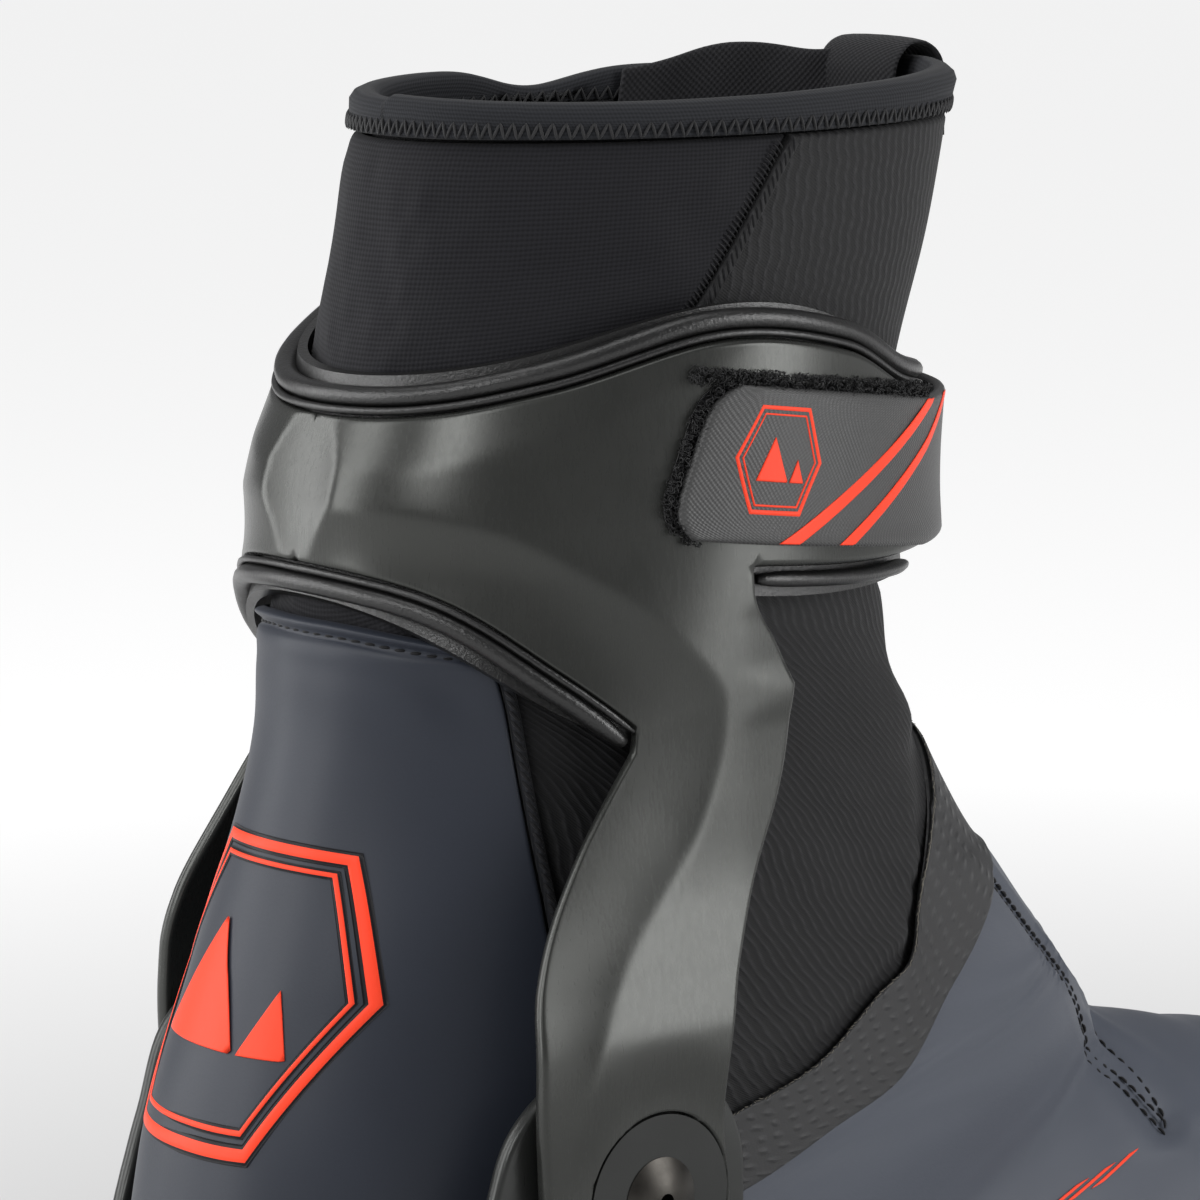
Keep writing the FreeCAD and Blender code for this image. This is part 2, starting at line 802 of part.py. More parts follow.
def cuff_shell():
    wall = ring_wall(cuff, (58.0, 216.0), 126.0, CUFF_WALL, rows=18, columns=36)
    shell = wall.common(side_prism(CUFF_SIDE, 60))
    bore = cross_cylinder(PIVOT_X, PIVOT_Z, PIVOT_BORE, -60, 60)
    shell = shell.cut(bore)
    for side in (-1, 1):
        recess = cross_cylinder(PIVOT_X, PIVOT_Z, DISC_DIAMETER + 0.4,
                                side * (CUFF_FACE - DISC_THICKNESS), side * 60)
        shell = shell.cut(recess)
    return shell


def cuff_pad():
    """Rubber-edged pad inside the cuff; it stands proud of the cuff's upper and lower edges."""
    grids = []
    for offset in (-CUFF_WALL - PAD_GAP, -CUFF_WALL - PAD_GAP - PAD_THICKNESS):
        grid = []
        for z in steps(140.0, 216.0, 10):
            end = cuff.q_at(z, 121.0)
            grid.append([cuff.point(z, q, offset) for q in steps(-end, end, 36)])
        grids.append(grid)
    return sheet_solid(grids[0], grids[1]).common(side_prism(PAD_SIDE, 60))


def pivot_disc(side):
    disc = cross_cylinder(PIVOT_X, PIVOT_Z, DISC_DIAMETER, side * (CUFF_FACE - DISC_THICKNESS + 0.05),
                          side * (CUFF_FACE + 0.05))
    return disc.cut(cross_cylinder(PIVOT_X, PIVOT_Z, PIVOT_BORE, -60, 60))


def pivot_rivet(side):
    """Hollow domed rivet through the cuff arm and the chassis arm."""
    face = CUFF_FACE + 0.15
    inner_end = CHASSIS_FACE - CHASSIS_WALL
    shank = cross_cylinder(PIVOT_X, PIVOT_Z, RIVET_SHANK, side * inner_end, side * face)
    height = RIVET_HEAD_HEIGHT
    dome_radius = (RIVET_HEAD * RIVET_HEAD / 4 + height * height) / (2 * height)
    centre = Vector(PIVOT_X, side * (face + height - dome_radius), PIVOT_Z)
    dome = Part.makeSphere(dome_radius, centre)
    dome = dome.common(cross_cylinder(PIVOT_X, PIVOT_Z, RIVET_HEAD + 2, side * face, side * (face + 5)))
    rivet = shank.fuse(dome)
    return rivet.cut(cross_cylinder(PIVOT_X, PIVOT_Z, 2.5, side * (face - 2.5), side * (face + 5)))


def pivot_nuts():
    """Flanged nuts inside the chassis arms that hold the two rivets."""
    nuts = []
    for side in (-1, 1):
        inner = CHASSIS_FACE - CHASSIS_WALL - 0.05
        nuts.append(cross_cylinder(PIVOT_X, PIVOT_Z, 14.0, side * (inner - 1.6), side * inner))
    return nuts


# ---- power strap ----
STRAP_LOW = 171.9
STRAP_HIGH = 194.2
STRAP_MIDDLE = (STRAP_LOW + STRAP_HIGH) / 2
STRAP_LEAN = 0.13        # the free end rises this much for each millimetre to the back
STRAP_LINE_X = 112.0     # where the free end starts to peel
TAB_END_X = 57.5
PILE = (0.08, 0.7)
PILE_LOW = 174.5
PILE_HIGH = 195.2
STRAP = (0.95, 3.05)


def strap_band():
    """Strap from its rivets on the medial wing round the front to the lateral wing."""

    def edges(z):
        return cuff.q_at(z, STRAP_LINE_X + 0.5), 2 - cuff.q_at(z, 76.0)

    return cuff_sheet((STRAP_LOW, STRAP_HIGH), edges, STRAP[0], STRAP[1], across=24)


def strap_tab():
    """Free end of the strap on the lateral wing."""

    def edges(z):
        bulge = 1 - ((z - STRAP_MIDDLE) / 12.5) ** 2
        return cuff.q_at(z, TAB_END_X + 2.5 - 2.5 * bulge), cuff.q_at(z, STRAP_LINE_X)

    return cuff_sheet((STRAP_LOW, STRAP_HIGH), edges, STRAP[0], STRAP[1], across=14, lean=STRAP_LEAN)


def loop_pile():
    def edges(z):
        return cuff.q_at(z, 52.0), cuff.q_at(z, 108.0)

    return cuff_sheet((PILE_LOW, PILE_HIGH), edges, PILE[0], PILE[1], across=14, lean=STRAP_LEAN)


def strap_rivets():
    rivets = []
    for z in (177.5, 189.5):
        q = -cuff.q_at(z, 82.0)
        seat = cuff.point(z, q, STRAP[1] + 0.05)
        out = (cuff.point(z, q, 5) - cuff.point(z, q, 0)).normalize()
        rivets.append(Part.makeCone(3.6, 2.6, 1.2, seat, out))
    return rivets


# ---- write every node ----
os.makedirs("parts", exist_ok=True)

write_node("sole_plate", sole_plate())
write_node("forefoot_tread", forefoot_tread())
write_node("heel_tread", heel_tread())
write_node("toe_bar", toe_bar())
write_node("insole_board", insole_board())
write_node("footbed", footbed())
write_node("ankle_chassis", ankle_chassis())
write_node("bootie_liner", bootie_liner())
write_node("vamp", vamp())
write_node("toe_cap", toe_cap())
write_node("heel_cover", heel_cover())
write_node("instep_band", instep_band())
write_node("lace_cover", lace_cover())
write_node("tongue", tongue())
write_node("laces", laces())
write_node("lace_loops", lace_loops())
write_node("lace_lock_body", lace_lock_body())
write_node("lace_lock_button", lace_lock_button())
write_node("zip_tape", zip_tape())
write_node("zip_coil", zip_coil())
write_node("zip_slider", zip_slider())
write_node("zip_pull", zip_pull())
write_node("ankle_bellows", ankle_bellows())
write_node("cuff_shell", cuff_shell())
write_node("cuff_pad", cuff_pad())
write_node("pivot_disc_lateral", pivot_disc(-1))
write_node("pivot_disc_medial", pivot_disc(1))
write_node("pivot_rivet_lateral", pivot_rivet(-1))
write_node("pivot_rivet_medial", pivot_rivet(1))
write_node("pivot_nuts", pivot_nuts())
write_node("strap_band", strap_band())
write_node("strap_tab", strap_tab())
write_node("loop_pile", loop_pile())
write_node("strap_rivets", strap_rivets())
write_node("collar_rear", collar_rear())
write_node("collar_front", collar_front())
write_node("collar_lining", collar_lining())
write_node("collar_binding", collar_binding())
write_node("pull_loop", pull_loop())
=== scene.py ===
import math
import random

import bpy
import numpy as np
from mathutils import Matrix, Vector
from mathutils.geometry import delaunay_2d_cdt


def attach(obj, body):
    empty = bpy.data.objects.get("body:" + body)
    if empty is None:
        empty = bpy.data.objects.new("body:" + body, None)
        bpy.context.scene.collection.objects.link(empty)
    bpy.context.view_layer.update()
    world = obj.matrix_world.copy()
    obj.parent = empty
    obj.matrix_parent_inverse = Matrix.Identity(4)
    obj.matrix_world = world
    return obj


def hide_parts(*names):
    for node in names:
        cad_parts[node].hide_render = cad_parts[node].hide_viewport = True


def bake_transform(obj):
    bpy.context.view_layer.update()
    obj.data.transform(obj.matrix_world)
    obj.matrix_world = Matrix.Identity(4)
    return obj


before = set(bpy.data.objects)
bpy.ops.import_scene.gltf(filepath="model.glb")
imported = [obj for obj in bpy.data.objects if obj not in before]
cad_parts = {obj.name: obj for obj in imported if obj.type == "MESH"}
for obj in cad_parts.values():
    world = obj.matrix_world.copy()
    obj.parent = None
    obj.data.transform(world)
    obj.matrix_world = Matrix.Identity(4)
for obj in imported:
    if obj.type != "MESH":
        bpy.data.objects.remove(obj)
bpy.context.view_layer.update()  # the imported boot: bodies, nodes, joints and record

scene = bpy.context.scene

# ---- camera, behind the boot and to its lateral side ----
camera = bpy.data.objects.new("camera", bpy.data.cameras.new("camera"))
scene.collection.objects.link(camera)
camera.location = (-0.58427, -0.63019, 0.300)
looking = Vector((0.62527, 0.76250, -0.16625))
camera.rotation_euler = looking.to_track_quat("-Z", "Y").to_euler()
camera.data.lens = 165
camera.data.sensor_width = 36
camera.data.clip_end = 50
scene.camera = camera

# ---- the boot's own shape, as in part.py: millimetres in the heel frame ----
SHIFT = np.array([145.75, 0.0, 0.0])  # heel frame to row frame
TOE_X = 300.4
PIVOT = (50.0, 85.0)  # x and z of the cuff's hinge
SHAFT_X = 75.0  # a line up the middle of the shaft
HALF_GIRTH = 118.0  # half way round the upper, which is 1 in t
FLAT_SCALE = np.array([8.5, HALF_GIRTH])  # about how many millimetres 1 in u and 1 in t are
RIM_SCALE = 22.0  # millimetres down the collar that 1 in u is, at the rim
SIDES = ((1, "lateral"), (-1, "medial"))

# sections of the upper from the rim to the toe: x and z of the front or top end, x and z of the back
# or bottom end, half width, and the powers that shape the front and the back
UPPER = np.array([
    (141.0, 240.0, 38.5, 240.0, 33.0, 0.50, 0.50),
    (136.0, 218.0, 34.8, 218.0, 33.0, 0.50, 0.50),
    (129.5, 200.0, 31.0, 201.0, 33.8, 0.50, 0.50),
    (125.0, 183.0, 27.5, 185.0, 34.3, 0.50, 0.50),
    (124.0, 165.5, 24.5, 169.5, 34.8, 0.50, 0.50),
    (130.0, 140.5, 22.3, 159.0, 35.3, 0.50, 0.50),
    (140.0, 119.5, 21.0, 148.0, 35.8, 0.50, 0.50),
    (145.0, 114.2, 16.5, 131.0, 36.2, 0.50, 0.48),
    (150.0, 108.9, 9.5, 112.0, 36.6, 0.50, 0.45),
    (155.0, 103.6, 2.5, 91.0, 37.0, 0.50, 0.42),
    (160.0, 98.3, -2.0, 68.0, 37.6, 0.50, 0.40),
    (165.0, 93.0, -4.0, 44.0, 38.0, 0.50, 0.36),
    (170.0, 87.7, 1.0, 22.0, 36.8, 0.50, 0.28),
    (175.5, 83.2, 25.0, 15.5, 37.4, 0.50, 0.18),
    (188.0, 79.0, 70.0, 15.5, 39.6, 0.50, 0.15),
    (203.0, 75.0, 112.0, 15.5, 43.2, 0.50, 0.15),
    (220.0, 70.5, 150.0, 15.5, 46.8, 0.50, 0.15),
    (238.0, 65.5, 184.0, 15.5, 48.6, 0.50, 0.15),
    (255.0, 60.5, 214.0, 15.5, 47.6, 0.50, 0.15),
    (270.0, 55.0, 240.0, 15.5, 44.3, 0.50, 0.15),
    (282.0, 48.5, 262.0, 15.5, 38.8, 0.50, 0.16),
    (290.5, 41.0, 277.0, 15.5, 31.5, 0.50, 0.20),
    (296.0, 33.0, 287.0, 16.0, 23.0, 0.50, 0.30),
    (298.8, 26.0, 293.5, 17.0, 14.0, 0.50, 0.40),
])
# level rings: height, x of the back and of the front, half width, squareness
CUFF_RINGS = np.array([
    (55.0, -40.0, 150.0, 48.0, 5.0), (85.0, -40.0, 150.0, 48.0, 5.0),
    (108.0, -28.0, 147.0, 47.9, 5.0), (117.0, -14.0, 142.0, 46.2, 4.2),
    (128.0, 0.0, 138.0, 44.2, 3.6), (142.0, 12.0, 134.0, 43.3, 3.0),
    (158.0, 17.0, 131.0, 42.9, 2.4), (173.0, 20.3, 130.5, 42.6, 2.1),
    (184.0, 21.5, 131.3, 42.2, 2.0), (197.0, 25.3, 132.8, 41.5, 2.0),
    (210.0, 28.0, 134.5, 41.0, 2.0), (222.0, 31.0, 135.0, 40.5, 2.0),
])
CHASSIS_RINGS = np.array([
    (4.0, -3.0, 190.0, 41.0, 2.6), (14.0, -5.2, 190.0, 41.2, 2.6), (28.0, -7.9, 190.0, 42.0, 2.7),
    (44.0, -8.9, 190.0, 43.0, 2.8), (60.0, -9.2, 185.0, 43.6, 3.2), (76.0, -20.0, 170.0, 43.9, 5.0),
    (110.0, -30.0, 160.0, 43.9, 5.0),
])


def smooth(stops, values, at):
    """Smooth curve through (stop, value) pairs, straight past both ends."""
    stops = np.asarray(stops, float)
    values = np.asarray(values, float)
    at = np.asarray(at, float)
    last = len(stops) - 1
    here = np.arange(last + 1)
    low = np.maximum(here - 1, 0)
    high = np.minimum(here + 1, last)
    slope = (values[high] - values[low]) / (stops[high] - stops[low])
    k = np.clip(np.searchsorted(stops, at, side="left") - 1, 0, last - 1)
    span = stops[k + 1] - stops[k]
    t = (at - stops[k]) / span
    rise = values[k + 1] - values[k]
    m0 = slope[k] * span
    m1 = slope[k + 1] * span
    out = values[k] + t * (m0 + t * (3 * rise - 2 * m0 - m1 + t * (m0 + m1 - 2 * rise)))
    out = np.where(at <= stops[0], values[0] + slope[0] * (at - stops[0]), out)
    return np.where(at >= stops[-1], values[-1] + slope[-1] * (at - stops[-1]), out)


def run_of(points):
    """Length along a line of points, at each point."""
    return np.concatenate([[0], np.cumsum(np.linalg.norm(np.diff(points, axis=0), axis=1))])


def read_at(at, run, values):
    """Rows of a table read off at given lengths along it."""
    return np.stack([np.interp(at, run, values[:, i]) for i in range(values.shape[1])], -1)


def ease(x, low, high):
    """0 to 1 smoothly as x goes from low to high."""
    t = np.clip((np.asarray(x, float) - low) / (high - low), 0, 1)
    return t * t * (3 - 2 * t)


def bump_at(x, centre, width):
    """Smooth hump of height 1."""
    return np.exp(-(((np.asarray(x, float) - centre) / width) ** 2))


def unit(v):
    return v / np.maximum(np.linalg.norm(v, axis=-1, keepdims=True), 1e-12)


def bend(x):
    """How far the forefoot swings to the medial side."""
    reach = np.maximum(0, (x - 120) / (TOE_X - 120))
    return 7 * reach * reach


def upper_row(u):
    """Columns of the upper's table between its sections."""
    return [smooth(np.arange(len(UPPER)), column, u) for column in UPPER.T]


def upper_at(u, t):
    """Point of the upper. u is the section, t runs 0 at the front to 1 at the back by the lateral
    side, and 0 to -1 by the medial side."""
    tx, tz, bx, bz, wide, a, b = upper_row(u)
    s = (1 - np.cos(np.pi * np.abs(t))) / 2
    widest = a / (a + b)
    out = wide * (s / widest) ** a * (np.maximum(1 - s, 0) / (1 - widest)) ** b
    side = np.where(t < 0, -1.0, 1.0)
    x = tx + (bx - tx) * s
    return np.stack([x, -side * out + bend(x), tz + (bz - tz) * s], -1)


def fold(t):
    """Bring t back to -1..1."""
    return (np.asarray(t, float) + 1) % 2 - 1


def skin_normals(base, along, around, middle):
    """Unit normals of a surface, turned away from its middle."""
    normal = unit(np.cross(along, around))
    flip = np.sign(np.sum(normal * (base - middle), -1, keepdims=True))
    return normal * np.where(flip == 0, 1, flip)


def upper(u, t):
    """(points, outward normals) of the upper's skin."""
    u, t = np.broadcast_arrays(np.asarray(u, float), np.asarray(t, float))
    base = upper_at(u, fold(t))
    along = upper_at(u + 0.03, fold(t)) - upper_at(u - 0.03, fold(t))
    around = upper_at(u, fold(t + 0.006)) - upper_at(u, fold(t - 0.006))
    middle = (upper_at(u, 0 * u) + upper_at(u, 0 * u + 1)) / 2
    return base, skin_normals(base, along, around, middle)


def upper_t(u, x):
    """t of the lateral skin where it stands at x on section u."""
    tx, _, bx = upper_row(u)[:3]
    return np.arccos(np.clip(1 - 2 * (x - tx) / (bx - tx), -1, 1)) / np.pi


class Wall:
    """Wall of level squared ovals with a flat coordinate g, in mm along the wall, equal to x on the
    shaft's middle line, and growing to the front."""

    def __init__(self, rings):
        self.rings = rings
        self.z = np.arange(rings[0][0] - 2, rings[-1][0] + 2, 1.0)
        self.g = np.arange(-40, 160, 0.5)
        close = np.logspace(-9, -2.8, 90)
        turns = np.unique(np.concatenate([np.linspace(-0.35, 1.0, 900), 0.5 - close, 0.5 + close]))
        rows = []
        self.tables = []
        for z in self.z:
            p = self.at(z + 0 * turns, turns)
            s = run_of(p)
            ahead = turns >= 0
            origin = np.interp(SHAFT_X, p[ahead, 0], s[ahead])
            g = SHAFT_X + s - origin
            rows.append(np.interp(self.g, g, turns))
            self.tables.append((p[ahead, 0], g[ahead]))
        self.turns = np.array(rows)
        self.centre_g = np.array([t[1][0] for t in self.tables])

    def at(self, z, t):
        back, front, wide, square = [smooth(self.rings[:, 0], self.rings[:, i], z) for i in (1, 2, 3, 4)]
        power = 2 / square
        c = np.cos(np.pi * np.abs(t))
        x = (back + front) / 2 - (front - back) / 2 * np.sign(c) * np.abs(c) ** power
        y = -np.where(t < 0, -1, 1) * wide * np.maximum(np.sin(np.pi * np.abs(t)), 0) ** power
        return np.stack([x, y, z + 0 * x], -1)

    def turn(self, g, z):
        """Turn of the wall at a flat place."""
        fz = np.clip((z - self.z[0]) / 1.0, 0, len(self.z) - 1.001)
        fg = np.clip((g - self.g[0]) / 0.5, 0, len(self.g) - 1.001)
        i, j = fz.astype(int), fg.astype(int)
        a, b = fz - i, fg - j
        t = self.turns
        low = t[i, j] * (1 - b) + t[i, j + 1] * b
        high = t[i + 1, j] * (1 - b) + t[i + 1, j + 1] * b
        return low * (1 - a) + high * a

    def skin(self, g, z):
        """(points, outward normals) at flat places on the lateral side."""
        g, z = np.broadcast_arrays(np.asarray(g, float), np.asarray(z, float))
        base = self.at(z, self.turn(g, z))
        ahead = self.at(z, self.turn(g + 0.8, z)) - self.at(z, self.turn(g - 0.8, z))
        t = self.turn(g, z)
        rise = self.at(z + 0.6, t) - self.at(z - 0.6, t)
        return base, skin_normals(base, ahead, rise, np.stack([0 * z + SHAFT_X, 0 * z, z], -1))

    def flat(self, x, z):
        """g of the lateral wall where it stands at x."""
        k = int(np.clip(round(z - self.z[0]), 0, len(self.z) - 1))
        xs, gs = self.tables[k]
        return float(np.interp(x, xs, gs))

    def centre(self, z):
        """g of the middle of the back."""
        return float(np.interp(z, self.z, self.centre_g))

    def path(self, points):
        """(g, z) pairs of a list of side view (x, z) places."""
        return np.array([(self.flat(x, z), z) for x, z in points])


cuff = Wall(CUFF_RINGS)
chassis = Wall(CHASSIS_RINGS)


def curve(points, step=0.5):
    """Points along a smooth line through a few points, evenly spaced."""
    points = np.asarray(points, float)
    if len(points) == 2:
        fine = points[0] + (points[1] - points[0]) * np.linspace(0, 1, 60)[:, None]
    else:
        gaps = run_of(points)
        at = np.linspace(0, gaps[-1], 60 * len(points))
        fine = np.stack([smooth(gaps, points[:, i], at) for i in range(points.shape[1])], -1)
    return resample(fine, step)


def resample(points, step):
    """The same line with even steps."""
    run = run_of(points)
    return read_at(np.linspace(0, run[-1], max(2, int(round(run[-1] / step)) + 1)), run, points)


def wobble(a, b, size, seed, waves=6):
    """Soft unevenness between about -1 and 1."""
    draw = random.Random(seed)
    total = 0
    for _ in range(waves):
        angle = draw.uniform(0, math.pi)
        length = size * draw.uniform(0.6, 1.6)
        total = total + np.sin((a * math.cos(angle) + b * math.sin(angle)) * 2 * math.pi / length
                               + draw.uniform(0, 6.28))
    return total / math.sqrt(waves) / 1.4


# ---- meshes ----
def piece(name, points, faces, look, body=None, nodes=(), cloth=None):
    """Object from heel frame points in millimetres. Pieces for body "shaft" or "peel" keep their places in
    the world with no parent; any other body gets an empty that the piece is attached to."""
    mesh = bpy.data.meshes.new(name)
    mesh.from_pydata(((points - SHIFT) / 1000).tolist(), [], faces)
    mesh.shade_smooth()
    if cloth is not None:
        flat = np.zeros((len(points), 3))
        flat[:, :cloth.shape[-1]] = cloth
        attribute = mesh.attributes.new("cloth", "FLOAT_VECTOR", "POINT")
        attribute.data.foreach_set("vector", flat.astype(np.float32).ravel())
    mesh.materials.append(looks[look])
    thing = bpy.data.objects.new(name, mesh)
    scene.collection.objects.link(thing)
    if body == "shaft":
        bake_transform(thing)
    elif body == "peel":
        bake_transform(thing)
    else:
        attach(thing, body)
    if nodes:
        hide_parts(*nodes)
    return thing


def rounded(edge, low, high, radius=None):
    """Offsets of a sheet's outer and inner faces at a distance from its edge."""
    half = (high - low) / 2
    k = np.clip(edge / (radius or half), 0, 1)
    lift = half * np.sqrt(1 - (1 - k) ** 2)
    return (low + high) / 2 + lift, (low + high) / 2 - lift


FINE_EDGE = (0.0, 0.15, 0.4, 0.8)


def fractions(length, step, near=(0.0, 0.1, 0.3, 0.6, 1.0)):
    """0 to 1 along a length, finer at both ends."""
    inside = np.linspace(near[-1], length - near[-1], max(3, int((length - 2 * near[-1]) / step) + 1))
    return np.concatenate([near[:-1], inside, [length - n for n in near[-2::-1]]]) / length


def table_of(rows, columns):
    """Two tables of the same size, of the values down and the values across."""
    return np.meshgrid(rows, columns, indexing="ij")


def measure(p):
    """Distances across and down a grid of points, from its first column and row."""
    rows, columns = p.shape[:2]
    across = np.zeros((rows, columns))
    across[:, 1:] = np.cumsum(np.linalg.norm(np.diff(p, axis=1), axis=2), axis=1)
    down = np.zeros((rows, columns))
    down[1:] = np.cumsum(np.linalg.norm(np.diff(p, axis=0), axis=2), axis=0)
    return across, down


def grid_faces(rows, columns, wrap, start=0):
    i, j = np.meshgrid(np.arange(rows - 1), np.arange(columns if wrap else columns - 1), indexing="ij")
    k = (j + 1) % columns
    quads = np.stack([i * columns + j, i * columns + k, (i + 1) * columns + k, (i + 1) * columns + j], -1)
    return quads.reshape(-1, 4) + start


def two_faces(outer, inner, wrap):
    """Points and faces of a closed sheet between two grids."""
    rows, columns = outer.shape[:2]
    count = rows * columns
    front = grid_faces(rows, columns, wrap)
    back = grid_faces(rows, columns, wrap, count)[:, ::-1]
    faces = [front, back]
    span = np.arange(columns if wrap else columns - 1)
    for row, turned in ((0, True), (rows - 1, False)):
        a = row * columns + span
        b = row * columns + (span + 1) % columns
        rim = np.stack([a, a + count, b + count, b], -1)
        faces.append(rim if not turned else rim[:, ::-1])
    if not wrap:
        i = np.arange(rows - 1)
        for column, turned in ((0, False), (columns - 1, True)):
            a = i * columns + column
            b = (i + 1) * columns + column
            rim = np.stack([a, a + count, b + count, b], -1)
            faces.append(rim if not turned else rim[:, ::-1])
    faces = np.concatenate(faces)
    points = np.concatenate([outer.reshape(-1, 3), inner.reshape(-1, 3)])
    r, c = rows // 2, columns // 3
    q = points[faces[r * (columns if wrap else columns - 1) + c]]
    facing = np.dot(np.cross(q[1] - q[0], q[2] - q[0]), outer[r, c] - inner[r, c])
    if facing < 0:
        faces = faces[:, ::-1]
    return points, faces.tolist()


def panel(name, skin, low, high, look, body, nodes=(), relief=None, wrap=False, radius=None):
    """Sheet on a grid. skin is (points, normals), relief the extra height at each point."""
    base, normal = skin
    across, down = measure(base)
    edge = np.minimum(down, down[-1] - down)
    if not wrap:
        edge = np.minimum(edge, np.minimum(across, across[:, -1:] - across))
    high_side, low_side = rounded(edge, low, high, radius)
    lift = 0 if relief is None else relief(across, down)
    outer = base + normal * (high_side + lift)[..., None]
    inner = base + normal * (low_side + np.minimum(lift, 1.0))[..., None]
    points, faces = two_faces(outer, inner, wrap)
    flat = np.stack([across, down], -1).reshape(-1, 2)
    return piece(name, points, faces, look, body, nodes, np.concatenate([flat, flat]))


def inside(points, loop):
    """Which points lie inside a closed loop."""
    x, y = points[:, 0], points[:, 1]
    result = np.zeros(len(points), bool)
    for (x0, y0), (x1, y1) in zip(loop, np.roll(loop, -1, axis=0)):
        if y0 != y1:
            hit = (y0 > y) != (y1 > y)
            result ^= hit & (x < (x1 - x0) * (y - y0) / (y1 - y0) + x0)
    return result


def reach(points, line):
    """Distance of each point from a line of points."""
    best = np.full(len(points), 1e9)
    for a, b in zip(line, line[1:]):
        d = b - a
        t = np.clip(((points - a) @ d) / max(d @ d, 1e-12), 0, 1)
        best = np.minimum(best, np.linalg.norm(points - a - t[:, None] * d, axis=1))
    return best


def fill(line, seam=None, step=1.4, depths=(0.0, 0.12, 0.3, 0.6, 1.0), rings=()):
    """Triangles in a flat outline. The line is closed by the seam, or by itself. Returns the places,
    the triangles, and each place's distance from the line."""
    closed = seam is None
    if closed:
        d = np.roll(line, -1, axis=0) - np.roll(line, 1, axis=0)
        loop, chain = line, np.vstack([line, line[:1]])
    else:
        d = np.diff(line, axis=0)
        d = np.vstack([d[:1], d[1:] + d[:-1], d[-1:]])
        loop, chain = np.vstack([line, seam]), line
    area = np.sum(loop[:, 0] * np.roll(loop[:, 1], -1) - loop[:, 1] * np.roll(loop[:, 0], -1))
    inward = unit(np.stack([-d[:, 1], d[:, 0]], -1)) * np.sign(area)
    if not closed:
        inward[0] = (0, np.sign(inward[0][1]))
        inward[-1] = (0, np.sign(inward[-1][1]))
    # rows of places along the line, at a few depths
    places = [line]
    edges = [(i, (i + 1) % len(line)) for i in range(len(chain) - 1)]
    for depth in depths[1:]:
        row = line + inward * depth
        places.append(row[reach(row, chain) > depth * 0.93])
    count = sum(map(len, places))
    if not closed:
        places.append(seam)
        ids = [len(line) - 1, *range(count, count + len(seam)), 0]
        edges += list(zip(ids, ids[1:]))
        count += len(seam)
    for ring in rings:
        places.append(ring)
        edges += [(count + i, count + (i + 1) % len(ring)) for i in range(len(ring))]
        count += len(ring)
    # staggered grid over the rest
    (x0, y0), (x1, y1) = loop.min(0), loop.max(0)
    gx, gy = np.meshgrid(np.arange(x0, x1, step), np.arange(y0, y1, step * 0.9))
    gx = gx + (np.arange(len(gy)) % 2)[:, None] * step / 2
    grid = np.stack([gx.ravel(), gy.ravel()], -1)
    grid = grid[inside(grid, loop)]
    grid = grid[reach(grid, chain) > depths[-1] + step * 0.4]
    for ring in rings:
        grid = grid[reach(grid, np.vstack([ring, ring[:1]])) > step * 0.4]
    if not closed:
        grid = grid[reach(grid, np.vstack([line[-1:], seam, line[:1]])) > step * 0.5]
    every = [Vector(p) for p in np.vstack(places + [grid])]
    verts, _, faces = delaunay_2d_cdt(every, edges, [], 1, 1e-5)[:3]
    verts = np.array([(v.x, v.y) for v in verts])
    return verts, faces, reach(verts, chain)


def shell_mesh(verts, faces, edge, place, low, high, relief, radius=None, mirror=False, seam=None):
    """Closed sheet from flat triangles laid on a surface, welded at its edge."""
    base, normal = place(verts[:, 0], verts[:, 1])
    if seam is not None:
        on_seam = reach(verts, seam) < 1e-3
        base[on_seam, 1] = 0
        normal[on_seam, 1] = 0
        normal = unit(normal)
    out, into = rounded(edge, low, high, radius)
    lift = relief(verts[:, 0], verts[:, 1]) if relief else 0
    fade = np.clip(edge / 0.6, 0, 1)
    outer = base + normal * (out + lift * (0.3 + 0.7 * fade))[:, None]
    inner = base + normal * (into + lift * 0.3 * (1 - fade))[:, None]
    rim = edge < 1e-4
    inner[rim] = outer[rim]
    count = len(verts)
    points = np.vstack([outer, inner])
    faces = np.array(faces)
    q = points[faces[:, 0]], points[faces[:, 1]], points[faces[:, 2]]
    facing = np.sum(np.cross(q[1] - q[0], q[2] - q[0]) * normal[faces[:, 0]])
    if facing < 0:
        faces = faces[:, ::-1]
    every = np.vstack([faces, faces[:, ::-1] + count])
    flat = np.vstack([verts, verts])
    if mirror:
        other = points * np.array([1, -1, 1])
        every = np.vstack([every, every[:, ::-1] + len(points)])
        points = np.vstack([points, other])
        flat = np.vstack([flat, flat])
    return weld(points, every, flat)


def weld(points, faces, flat):
    """Merge points that lie at the same place."""
    keys = np.round(points / 0.002).astype(np.int64)
    _, first, inverse = np.unique(keys, axis=0, return_index=True, return_inverse=True)
    faces = inverse.ravel()[faces]
    good = (faces[:, 0] != faces[:, 1]) & (faces[:, 1] != faces[:, 2]) & (faces[:, 0] != faces[:, 2])
    return points[first], faces[good].tolist(), flat[first]


